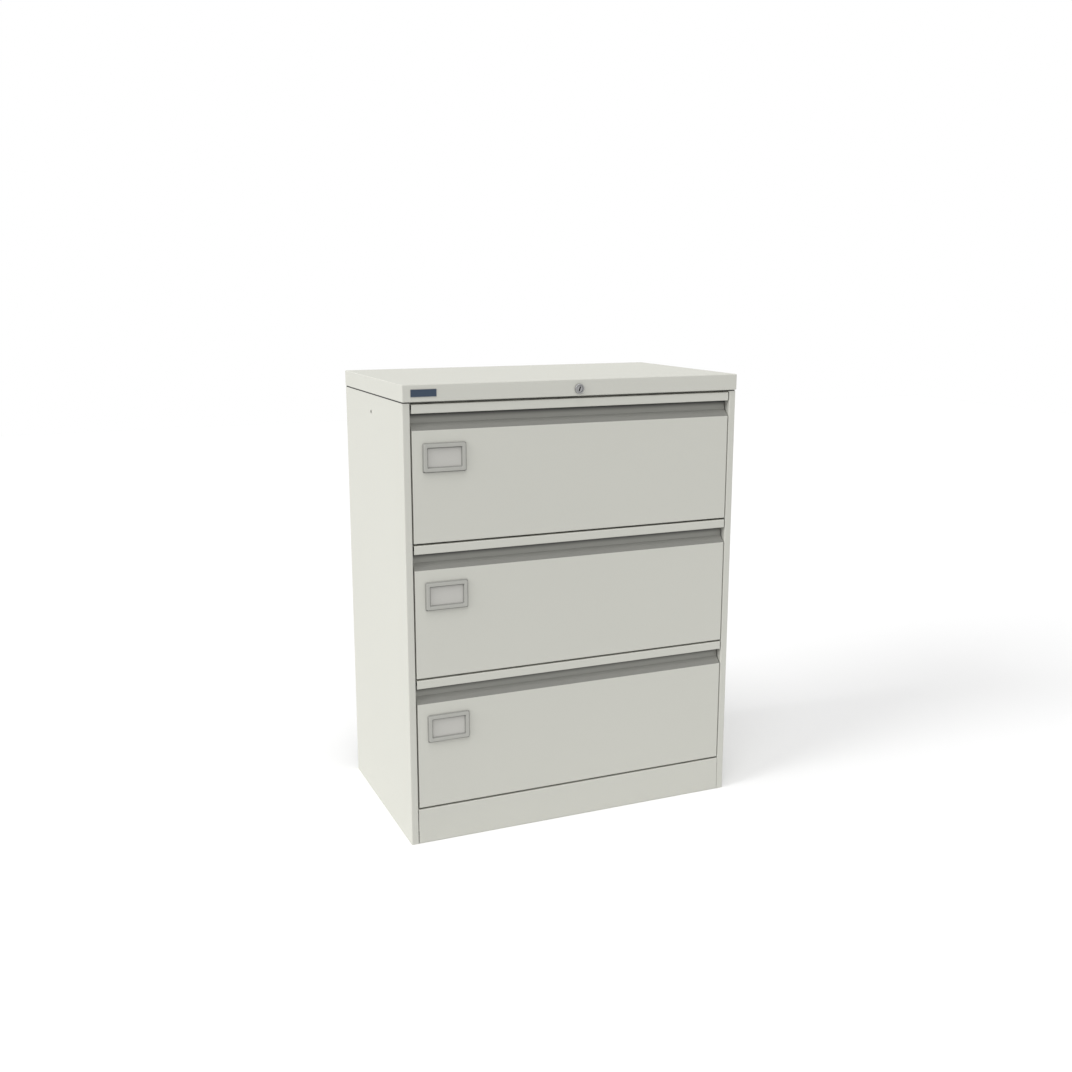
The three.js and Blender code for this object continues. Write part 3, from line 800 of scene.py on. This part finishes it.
class CABINET_OT_lid(bpy.types.Operator):
    """Models the lid: a pan with rounded edges, folded under, with a hole for the lock"""

    bl_idname = "cabinet.lid"
    bl_label = "Lid"

    def execute(self, context):
        sheet = context.scene.cabinet_sheet
        carcass = context.scene.cabinet_carcass
        low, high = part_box("lid")
        piece = add_box("lid_shell", low, high)
        with Editing(piece):
            pick("EDGE", lambda edge: runs_along(edge, 2))
            bpy.ops.mesh.bevel(offset=carcass.lid_corner, segments=BEND_STEPS, affect="EDGES")
            pick("EDGE", lambda edge: lies_at(edge, 2, low.z) or lies_at(edge, 2, high.z))
            bpy.ops.mesh.bevel(offset=carcass.lid_edge, segments=BEND_STEPS, affect="EDGES")
        apply_modifier(piece, "SOLIDIFY", thickness=sheet.thickness, offset=-1, use_even_offset=True)
        opening = add_box(
            "lid_opening",
            (low.x + carcass.lid_return, low.y + carcass.lid_front_return, low.z - sheet.thickness),
            (high.x - carcass.lid_return, high.y - carcass.lid_return, low.z + 2 * sheet.thickness),
        )
        combine(piece, opening, "DIFFERENCE")
        housing_low, housing_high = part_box("lock_housing")
        lock_height = (housing_low.z + housing_high.z) / 2
        radius = context.scene.cabinet_fittings.housing_radius + sheet.seat
        hole = turn_piece(
            "lid_lock_hole", (0, low.y, lock_height), (0, 1, 0),
            [(radius, -carcass.lid_return), (radius, carcass.lid_return)],
        )
        combine(piece, hole, "DIFFERENCE")
        shade(piece)
        hand_over(piece, "cabinet", "paint", "lid")
        return {"FINISHED"}


class CABINET_OT_side_panels(bpy.types.Operator):
    """Folds the side panels, each with its rear flange, stile and the stile's return"""

    bl_idname = "cabinet.side_panels"
    bl_label = "Side panels"

    def execute(self, context):
        sheet = context.scene.cabinet_sheet
        carcass = context.scene.cabinet_carcass
        low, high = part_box("side_panel_left")
        stile = low.x + carcass.stile_width
        path = [
            (high.x, high.y),
            (low.x, high.y),
            (low.x, low.y),
            (stile, low.y),
            (stile, low.y + carcass.stile_return),
        ]
        left = fold_sheet("side_panel_shell_left", "Z", low.z, high.z, path, 1, sheet.thickness, sheet.bend)
        drill = turn_piece(
            "side_hole", (low.x, carcass.hole_y, carcass.hole_z), (1, 0, 0),
            [(carcass.hole_radius, -carcass.stile_width), (carcass.hole_radius, carcass.stile_width)], 32,
        )
        combine(left, drill, "DIFFERENCE")
        welds = self.weld_dents(carcass, (low.x + high.x) / 2, low, high)
        combine(left, welds, "DIFFERENCE")
        soften(left, sheet.edge)
        right = mirror_piece(left, "side_panel_shell_right")
        for panel, side in ((left, "left"), (right, "right")):
            shade(panel)
            hand_over(panel, "cabinet", "paint", f"side_panel_{side}")
        return {"FINISHED"}

    def weld_dents(self, carcass, x, low, high):
        """The dents that spot welds leave in a rear flange, as one tool to cut with."""
        count = int((high.z - low.z) / carcass.weld_pitch)
        first = (low.z + high.z - (count - 1) * carcass.weld_pitch) / 2
        radius, depth = carcass.weld_radius, carcass.weld_depth
        profile = [(radius, -depth), (radius, 0), (radius * 0.82, depth * 0.75), (radius * 0.2, depth)]
        dent = turn_piece("weld_dents", (x, high.y, first), (0, -1, 0), profile, 24)
        copies = [copy_piece(dent, "weld_dent", (0, 0, i * carcass.weld_pitch)) for i in range(1, count)]
        return join_pieces(dent, copies)


class CABINET_OT_seals(bpy.types.Operator):
    """Folds the strips that close the gap between the lid and the side panels; they are black to stand in for
    the shade in that gap
    """

    bl_idname = "cabinet.seals"
    bl_label = "Seals"

    def execute(self, context):
        carcass = context.scene.cabinet_carcass
        low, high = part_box("side_panel_left")
        left_x = low.x + carcass.seal_inset
        rear_y = high.y - carcass.seal_inset
        front_y = low.y + carcass.seal_inset
        path = [
            (high.x, rear_y),
            (left_x, rear_y),
            (left_x, front_y),
            (low.x + carcass.stile_width, front_y),
        ]
        lid_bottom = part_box("lid")[0].z
        bend = context.scene.cabinet_sheet.bend
        left = fold_sheet("lid_seal_left", "Z", high.z, lid_bottom, path, 1, carcass.seal_width, bend)
        right = mirror_piece(left, "lid_seal_right")
        for seal in (left, right):
            shade(seal)
            hand_over(seal, "cabinet", "foot")
            # the strip's black finish is painted shade for the gap under the lid
            dress(seal, "seal")
        return {"FINISHED"}


class CABINET_OT_plinth(bpy.types.Operator):
    """Folds the plinth, with its foot and the shelf that meets the base pan"""

    bl_idname = "cabinet.plinth"
    bl_label = "Plinth"

    def execute(self, context):
        sheet = context.scene.cabinet_sheet
        low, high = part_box("plinth")
        pan_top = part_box("base_pan")[1].z
        path = [
            (low.y + context.scene.cabinet_carcass.plinth_foot, low.z),
            (low.y, low.z),
            (low.y, high.z),
            (high.y, high.z),
            (high.y, pan_top + sheet.seat),
        ]
        piece = fold_sheet("plinth_shell", "X", low.x, high.x, path, -1, sheet.thickness, sheet.bend)
        soften(piece, sheet.edge)
        shade(piece)
        hand_over(piece, "cabinet", "paint", "plinth")
        return {"FINISHED"}


class CABINET_OT_drawer_fronts(bpy.types.Operator):
    """Folds the drawer fronts: flange, face, the grip's slope and back, and the hemmed lip"""

    bl_idname = "cabinet.drawer_fronts"
    bl_label = "Drawer fronts"

    def execute(self, context):
        sheet = context.scene.cabinet_sheet
        drawer = context.scene.cabinet_drawers
        wall = sheet.thickness
        low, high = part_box("bottom_drawer_front")
        face_top = low.z + drawer.face
        slope_top = face_top + drawer.grip_rise
        grip_back = low.y + drawer.grip_depth
        lip_bottom = high.z - drawer.lip
        lip_back = low.y + drawer.lip_return
        path = [
            (low.y + drawer.flange, low.z),
            (low.y, low.z),
            (low.y, face_top),
            (grip_back, slope_top),
            (grip_back, high.z - wall),
            (low.y + wall, high.z - wall),
            (low.y + wall, lip_bottom + wall),
            (lip_back - wall, lip_bottom + wall),
            (lip_back - wall, lip_bottom + drawer.lip_hem),
        ]
        front = fold_sheet("bottom_drawer_front_shell", "X", low.x, high.x, path, -1, wall, sheet.bend)
        cheek_front = low.y + wall / 2
        cheek_back = grip_back - 2 * wall
        cheek_top = face_top - wall / 4
        rise = (cheek_back - cheek_front) * drawer.grip_rise / drawer.grip_depth
        for end in (low.x + sheet.seat, high.x - sheet.seat - wall):
            cheek = add_box(
                "drawer_front_cheek",
                (end, cheek_front, low.z + wall / 2),
                (end + wall, cheek_back, cheek_top),
            )
            with Editing(cheek):
                pick("EDGE", lambda edge: lies_at(edge, 1, cheek_back) and lies_at(edge, 2, cheek_top))
                bpy.ops.transform.translate(value=(0, 0, rise))
                pick("EDGE", lambda edge: lies_at(edge, 1, cheek_front) and runs_along(edge, 0))
                bpy.ops.mesh.bevel(offset=sheet.bend + wall / 2, segments=BEND_STEPS, affect="EDGES")
            combine(front, cheek, "UNION")
        clean(front)
        soften(front, sheet.edge)
        shade(front)
        repeat_by_drawer(front, "drawer_front_shell", "paint", "drawer_front")
        for level in LEVELS:
            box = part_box(f"{level}_drawer_front")
            shell = bpy.data.objects[f"{level}_drawer_front_shell"]
            # the grip's skins get the grip finish, whose darkening is painted shade
            finish_faces(shell, "grip", lambda face: self.is_in_grip(face, *box, drawer, wall))
        return {"FINISHED"}

    def is_in_grip(self, face, low, high, drawer, wall):
        """True for the grip's own skins: its slope, its back and its ceiling behind the lip."""
        middle = face.calc_center_median()
        turned_in = face.normal.y < 0.1 and min(face.normal.y, face.normal.z) < -0.5
        in_height = low.z + drawer.face < middle.z < high.z - wall / 2
        behind_lip = middle.y > low.y + drawer.lip_return
        below_lip = middle.z < high.z - drawer.lip - NEAR
        return turned_in and in_height and (behind_lip or below_lip)


class CABINET_OT_drawer_boxes(bpy.types.Operator):
    """Folds each drawer's inner front and back, both with a file rail, the tray and the lock's catch"""

    bl_idname = "cabinet.drawer_boxes"
    bl_label = "Drawer boxes"

    def execute(self, context):
        sheet = context.scene.cabinet_sheet
        drawer = context.scene.cabinet_drawers
        wall = sheet.inner_thickness

        low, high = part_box("bottom_drawer_liner")
        path = [(low.y, low.z), (low.y, high.z), (high.y, high.z), (high.y, high.z - drawer.rail_drop)]
        liner = fold_sheet("bottom_drawer_liner_shell", "X", low.x, high.x, path, -1, wall, sheet.bend)

        low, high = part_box("bottom_drawer_tray")
        path = [
            (low.x + drawer.tray_hem, high.z),
            (low.x, high.z),
            (low.x, low.z),
            (high.x, low.z),
            (high.x, high.z),
            (high.x - drawer.tray_hem, high.z),
        ]
        tray = fold_sheet("bottom_drawer_tray_shell", "Y", low.y, high.y, path, 1, wall, sheet.bend)

        low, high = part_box("bottom_drawer_back")
        skin = low.y + drawer.rail_depth
        path = [(skin, low.z), (skin, high.z), (low.y, high.z), (low.y, high.z - drawer.rail_drop)]
        back = fold_sheet("bottom_drawer_back_shell", "X", low.x, high.x, path, 1, wall, sheet.bend)
        drawer_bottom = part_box("bottom_drawer_front")[0].z
        catch_top = drawer_bottom + drawer.catch_top
        path = [(skin - wall / 2, catch_top), (high.y, catch_top), (high.y, drawer_bottom + drawer.catch_bottom)]
        catch = fold_sheet(
            "drawer_catch", "X", drawer.catch_left, drawer.catch_left + drawer.catch_width, path, -1,
            drawer.catch_sheet, sheet.channel_bend,
        )
        combine(back, catch, "UNION")

        for piece, node in ((liner, "drawer_liner"), (tray, "drawer_tray"), (back, "drawer_back")):
            soften(piece, sheet.edge)
            shade(piece)
            repeat_by_drawer(piece, f"{node}_shell", "paint", node)
        return {"FINISHED"}


class CABINET_OT_slides(bpy.types.Operator):
    """Folds the channels of the slides that come out with a drawer, and sets their rivets"""

    bl_idname = "cabinet.slides"
    bl_label = "Slides"

    def execute(self, context):
        sheet = context.scene.cabinet_sheet
        slide = context.scene.cabinet_slides

        low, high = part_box("bottom_slide_middle_left")
        middle = self.channel("bottom_slide_middle_shell_left", low, high, low.x, high.x, -1, slide, sheet)
        slots = self.web_slots(low, high, slide, sheet)
        combine(middle, slots, "DIFFERENCE")
        self.finish_pair(middle, "slide_middle", sheet, "slide_middles")

        low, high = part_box("bottom_slide_inner_left")
        inner = self.channel("bottom_slide_inner_shell_left", low, high, high.x, low.x, 1, slide, sheet)
        self.finish_pair(inner, "slide_inner", sheet, "drawer")
        self.rivets(low, high, slide, sheet)
        return {"FINISHED"}

    def channel(self, name, low, high, web, mouth, side, slide, sheet):
        """A lipped channel whose web is at one depth and whose open side is at another."""
        path = [
            (mouth, low.z + slide.lip),
            (mouth, low.z),
            (web, low.z),
            (web, high.z),
            (mouth, high.z),
            (mouth, high.z - slide.lip),
        ]
        return fold_sheet(name, "Y", low.y, high.y, path, side, sheet.channel, sheet.channel_bend)

    def web_slots(self, low, high, slide, sheet):
        """A row of slots with round ends along the middle channel's web, as one tool to cut with."""
        height = (low.z + high.z) / 2
        half_length, half_height = slide.slot_length / 2, slide.slot_height / 2
        first = low.y + slide.slot_pitch / 2
        slot = add_box(
            "slide_slots",
            (low.x - sheet.channel, first - half_length, height - half_height),
            (low.x + 2 * sheet.channel, first + half_length, height + half_height),
        )
        with Editing(slot):
            pick("EDGE", lambda edge: runs_along(edge, 0))
            bpy.ops.mesh.bevel(offset=half_height * 0.98, segments=6, affect="EDGES")
        count = int((high.y - low.y) / slide.slot_pitch)
        return join_pieces(
            slot, [copy_piece(slot, "slide_slot", (0, i * slide.slot_pitch, 0)) for i in range(1, count)]
        )

    def finish_pair(self, left, name, sheet, body):
        """Softens a left-hand channel, mirrors it and repeats both for every drawer."""
        soften(left, sheet.edge)
        right = mirror_piece(left, f"bottom_{name}_shell_right")
        for piece, side in ((left, "left"), (right, "right")):
            shade(piece)
            repeat_by_drawer(piece, f"{name}_shell_{side}", "zinc", f"{name}_{side}", body=body)

    def rivets(self, low, high, slide, sheet):
        """The rivets that hold the inner channels on the tray."""
        head, rise = slide.rivet_head, slide.rivet_rise
        tray_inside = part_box("bottom_drawer_tray")[0].x + sheet.inner_thickness
        channel_inside = high.x - sheet.channel
        grip = tray_inside - channel_inside
        profile = [
            (head * 0.15, -rise),
            (head * 0.55, -rise * 0.85),
            (head * 0.85, -rise * 0.5),
            (head, -rise * 0.12),
            (head, 0),
            (head * 0.5, 0),
            (head * 0.5, grip),
            (head * 0.9, grip),
            (head * 0.9, grip + rise * 0.4),
            (head * 0.7, grip + rise * 0.55),
        ]
        centre = (channel_inside, low.y + slide.rivet_start, (low.z + high.z) / 2)
        first = turn_piece("bottom_slide_rivets_left", centre, (1, 0, 0), profile, 20)
        count = int((high.y - low.y) / slide.rivet_pitch)
        left = join_pieces(
            first, [copy_piece(first, "slide_rivet", (0, i * slide.rivet_pitch, 0)) for i in range(1, count)]
        )
        right = mirror_piece(left, "bottom_slide_rivets_right")
        for piece, side in ((left, "left"), (right, "right")):
            shade(piece)
            repeat_by_drawer(piece, f"slide_rivets_{side}", "zinc")


class CABINET_OT_back_panel(bpy.types.Operator):
    """Folds the back panel, with its foot and its top flange"""

    bl_idname = "cabinet.back_panel"
    bl_label = "Back panel"

    def execute(self, context):
        sheet = context.scene.cabinet_sheet
        low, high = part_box("back_panel")
        path = [(low.y, low.z), (high.y, low.z), (high.y, high.z), (low.y, high.z)]
        piece = fold_sheet("back_panel_shell", "X", low.x, high.x, path, 1, sheet.thickness, sheet.bend)
        soften(piece, sheet.edge)
        shade(piece)
        hand_over(piece, "cabinet", "paint", "back_panel")
        return {"FINISHED"}


class CABINET_OT_card_holders(bpy.types.Operator):
    """Models the card holders: a rounded frame with a window and a pocket for the card"""

    bl_idname = "cabinet.card_holders"
    bl_label = "Card holders"

    def execute(self, context):
        fittings = context.scene.cabinet_fittings
        seat = context.scene.cabinet_sheet.seat
        low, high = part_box("bottom_card_holder")
        low.y = high.y - fittings.holder_depth
        border = fittings.holder_border
        inset = Vector((border, 0, border))
        holder = self.plate("bottom_card_holder_frame", low, high, fittings.holder_corner)
        window = self.plate("card_window", low + inset, high - inset, fittings.window_corner)
        join_pieces(holder, [window])
        with Editing(holder):
            bpy.ops.mesh.select_all(action="SELECT")
            bpy.ops.mesh.delete(type="ONLY_FACE")
            bpy.ops.mesh.select_all(action="SELECT")
            bpy.ops.mesh.bridge_edge_loops()
            bpy.ops.mesh.select_all(action="SELECT")
            bpy.ops.mesh.extrude_region_move(TRANSFORM_OT_translate={"value": (0, high.y - low.y, 0)})
            face_outwards()
            pick("EDGE", lambda edge: lies_at(edge, 1, low.y) and edge.calc_face_angle() > CUT_ANGLE)
            bpy.ops.mesh.bevel(
                offset=fittings.holder_slope, segments=BEND_STEPS, profile=HOLDER_PROFILE, affect="EDGES"
            )
        card_low, card_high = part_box("bottom_card")
        pocket = add_box(
            "card_pocket",
            (card_low.x - seat, card_low.y - seat, card_low.z - seat),
            (high.x + border, high.y + border, card_high.z + seat),
        )
        combine(holder, pocket, "DIFFERENCE")
        clean(holder)
        shade(holder)
        repeat_by_drawer(holder, "card_holder_frame", "holder", "card_holder")
        # the frame's downward-facing faces get painted shade
        for level in LEVELS:
            frame_piece = bpy.data.objects[f"{level}_card_holder_frame"]
            finish_faces(frame_piece, "holder_under", lambda face: face.normal.z < -0.3)
        return {"FINISHED"}

    def plate(self, name, low, high, corner):
        """A flat upright plate with round corners, at the front of a box."""
        centre = (low + high) / 2
        bpy.ops.object.select_all(action="DESELECT")
        bpy.ops.mesh.primitive_plane_add(
            size=1, location=(centre.x, low.y, centre.z), rotation=(QUARTER_TURN, 0, 0)
        )
        bpy.context.object.scale = (high.x - low.x, high.z - low.z, 1)
        plate = settle(name)
        with Editing(plate):
            bpy.ops.mesh.select_all(action="SELECT")
            bpy.ops.mesh.bevel(offset=corner, segments=BEND_STEPS, affect="VERTICES")
        return plate


class CABINET_OT_lock(bpy.types.Operator):
    """Turns the lock's housing and barrel and cuts the keyway"""

    bl_idname = "cabinet.lock"
    bl_label = "Lock"

    def execute(self, context):
        fittings = context.scene.cabinet_fittings
        low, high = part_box("lock_housing")
        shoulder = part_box("lid")[0].y - context.scene.cabinet_sheet.seat
        bezel = (high.x - low.x) / 2
        centre = Vector((0, 0, (low.z + high.z) / 2))
        housing = turn_piece(
            "lock_bezel", centre, (0, 1, 0),
            [(bezel, low.y), (bezel, shoulder), (fittings.housing_radius, shoulder),
             (fittings.housing_radius, high.y)], 64,
        )
        bore = turn_piece(
            "lock_bore", centre, (0, 1, 0),
            [(fittings.bore_radius, low.y - bezel), (fittings.bore_radius, high.y + bezel)], 64,
        )
        with Editing(housing):
            pick("EDGE", lambda edge: lies_at(edge, 1, low.y))
            bpy.ops.mesh.bevel(offset=fittings.bezel_round, segments=5, affect="EDGES")
        combine(housing, bore, "DIFFERENCE")
        shade(housing)
        hand_over(housing, "cabinet", "chrome", "lock_housing")

        low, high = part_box("lock_barrel")
        radius = (high.x - low.x) / 2
        chamfer = fittings.bezel_round / 2
        barrel = turn_piece(
            "lock_plug_face", centre, (0, 1, 0),
            [(radius - chamfer, low.y), (radius, low.y + chamfer), (radius, high.y)], 64,
        )
        keyway = add_box(
            "lock_keyway",
            (-fittings.keyway_width / 2, low.y - chamfer, centre.z - fittings.keyway_height / 2),
            (fittings.keyway_width / 2, low.y + fittings.keyway_depth, centre.z + fittings.keyway_height / 2),
        )
        with Editing(keyway):
            pick("EDGE", lambda edge: runs_along(edge, 1))
            bpy.ops.mesh.bevel(offset=fittings.keyway_width / 3, segments=4, affect="EDGES")
            bpy.ops.mesh.select_all(action="SELECT")
            bpy.ops.transform.rotate(value=-fittings.keyway_slant, orient_axis="Y", center_override=centre)
        combine(barrel, keyway, "DIFFERENCE")
        shade(barrel)
        hand_over(barrel, "lock_plug", "chrome", "lock_barrel")

        def is_keyway(face):
            offset = face.calc_center_median() - Vector((0, low.y, centre.z))
            within = math.hypot(offset.x, offset.z) < fittings.keyway_height / 2 + NEAR
            return within and NEAR < offset.y < fittings.keyway_depth + NEAR

        # the faces inside the keyway get painted shade
        finish_faces(barrel, "keyway", is_keyway)
        return {"FINISHED"}


class CABINET_OT_plate(bpy.types.Operator):
    """Models the small bare plate on the lid's front edge, with a raised rim"""

    bl_idname = "cabinet.plate"
    bl_label = "Plate"

    def execute(self, context):
        fittings = context.scene.cabinet_fittings
        lid_low, lid_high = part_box("lid")
        left = lid_low.x + fittings.plate_left
        bottom = lid_low.z + fittings.plate_bottom
        front = lid_low.y - fittings.plate_thickness
        piece = add_box(
            "bare_plate",
            (left, front, bottom),
            (left + fittings.plate_width, lid_low.y, bottom + fittings.plate_height),
        )
        rim = fittings.plate_thickness
        with Editing(piece):
            pick("EDGE", lambda edge: runs_along(edge, 1))
            bpy.ops.mesh.bevel(offset=2 * rim, segments=4, affect="EDGES")
            pick("FACE", lambda face: face.normal.y < -0.9)
            bpy.ops.mesh.inset(thickness=rim, use_even_offset=True)
            bpy.ops.mesh.inset(thickness=rim / 4, depth=-rim / 3, use_even_offset=True)
        soften(piece, rim / 5)
        shade(piece)
        hand_over(piece, "cabinet", "chrome")
        finish_faces(
            piece, "plate", lambda face: face.normal.y < -0.9 and face.calc_center_median().y > front + rim / 6
        )
        return {"FINISHED"}


def add_sun(name, strength, compass, height, spread):
    """Adds a soft light that comes from a compass angle left of the front and a height over the horizon."""
    flat = math.cos(height)
    towards = Vector((-math.sin(compass) * flat, -math.cos(compass) * flat, math.sin(height)))
    facing = towards.to_track_quat("Z", "Y").to_euler()
    bpy.ops.object.light_add(type="SUN", location=towards * LAMP_DISTANCE, rotation=facing)
    lamp = bpy.context.object
    lamp.name = name
    lamp.data.energy = strength
    lamp.data.angle = spread


class CABINET_OT_studio(bpy.types.Operator):
    """Sets up the floor, the light and the camera"""

    bl_idname = "cabinet.studio"
    bl_label = "Studio"

    def execute(self, context):
        studio = context.scene.cabinet_studio
        bpy.ops.object.select_all(action="DESELECT")
        bpy.ops.mesh.primitive_plane_add(size=studio.floor_size)
        floor = settle("studio_floor")
        with Editing(floor):
            bpy.ops.mesh.subdivide(number_cuts=3)
        material = bpy.data.materials.new("studio_floor_finish")
        nodes = Nodes(material)
        nodes.surface(
            Base_Color=opaque((studio.floor,) * 3), Roughness=0.9, Specular_IOR_Level=0.0,
        )
        floor.data.materials.append(material)

        world = bpy.data.worlds.new("studio_surroundings")
        context.scene.world = world
        nodes = Nodes(world)
        rays = [nodes.add("LightPath", output=f"Is {kind} Ray") for kind in ("Camera", "Glossy", "Transmission")]
        seen = nodes.math("MAXIMUM", nodes.math("MAXIMUM", rays[0], rays[1]), rays[2])
        lit = nodes.add("Background", inputs={"Color": (1, 1, 1, 1), "Strength": studio.ambient})
        white = nodes.add("Background", inputs={"Color": (1, 1, 1, 1), "Strength": 1.0})
        shown = nodes.add("MixShader", inputs={0: seen, 1: lit, 2: white})
        nodes.add("OutputWorld", inputs={"Surface": shown})

        for lamp in LAMPS:
            strength, compass, height, spread = [
                getattr(studio, lamp + part) for part in ("", "_from", "_height", "_spread")
            ]
            add_sun(f"{lamp}_light", strength, compass, height, spread)

        facing = (QUARTER_TURN - studio.tilt, 0, -studio.turn)
        bpy.ops.object.camera_add(location=studio.camera, rotation=facing)
        camera = context.object
        camera.name = "camera"
        camera.data.lens = studio.lens
        camera.data.sensor_width = 36
        context.scene.camera = camera
        context.scene.view_settings.view_transform = "Standard"
        return {"FINISHED"}


class CABINET_PT_panel(bpy.types.Panel):
    """Lists what the cabinet is made of"""

    bl_idname = "CABINET_PT_panel"
    bl_label = "Filing cabinet"
    bl_space_type = "VIEW_3D"
    bl_region_type = "UI"
    bl_category = "Cabinet"

    def draw(self, context):
        for operator in OPERATORS:
            self.layout.operator(operator.bl_idname)
        for name in SETTINGS:
            settings = getattr(context.scene, name)
            box = self.layout.box()
            for key in settings.__annotations__:
                box.prop(settings, key)


OPERATORS = (
    CABINET_OT_frame,
    CABINET_OT_lid,
    CABINET_OT_side_panels,
    CABINET_OT_seals,
    CABINET_OT_plinth,
    CABINET_OT_back_panel,
    CABINET_OT_drawer_fronts,
    CABINET_OT_drawer_boxes,
    CABINET_OT_slides,
    CABINET_OT_card_holders,
    CABINET_OT_lock,
    CABINET_OT_plate,
    CABINET_OT_studio,
)

SETTINGS = {
    "cabinet_sheet": SheetSettings,
    "cabinet_carcass": CarcassSettings,
    "cabinet_drawers": DrawerSettings,
    "cabinet_slides": SlideSettings,
    "cabinet_fittings": FittingSettings,
    "cabinet_colours": ColourSettings,
    "cabinet_studio": StudioSettings,
}


def register():
    for settings in SETTINGS.values():
        bpy.utils.register_class(settings)
    for operator in OPERATORS:
        bpy.utils.register_class(operator)
    bpy.utils.register_class(CABINET_PT_panel)
    for name, settings in SETTINGS.items():
        setattr(bpy.types.Scene, name, PointerProperty(type=settings))


def unregister():
    for name in SETTINGS:
        delattr(bpy.types.Scene, name)
    bpy.utils.unregister_class(CABINET_PT_panel)
    for operator in reversed(OPERATORS):
        bpy.utils.unregister_class(operator)
    for settings in reversed(SETTINGS.values()):
        bpy.utils.unregister_class(settings)


def main():
    register()
    bpy.ops.cabinet.frame()
    bpy.ops.cabinet.lid()
    bpy.ops.cabinet.side_panels()
    bpy.ops.cabinet.seals()
    bpy.ops.cabinet.plinth()
    bpy.ops.cabinet.back_panel()
    bpy.ops.cabinet.drawer_fronts()
    bpy.ops.cabinet.drawer_boxes()
    bpy.ops.cabinet.slides()
    bpy.ops.cabinet.card_holders()
    bpy.ops.cabinet.lock()
    bpy.ops.cabinet.plate()
    bpy.ops.cabinet.studio()


if __name__ == "__main__":
    main()
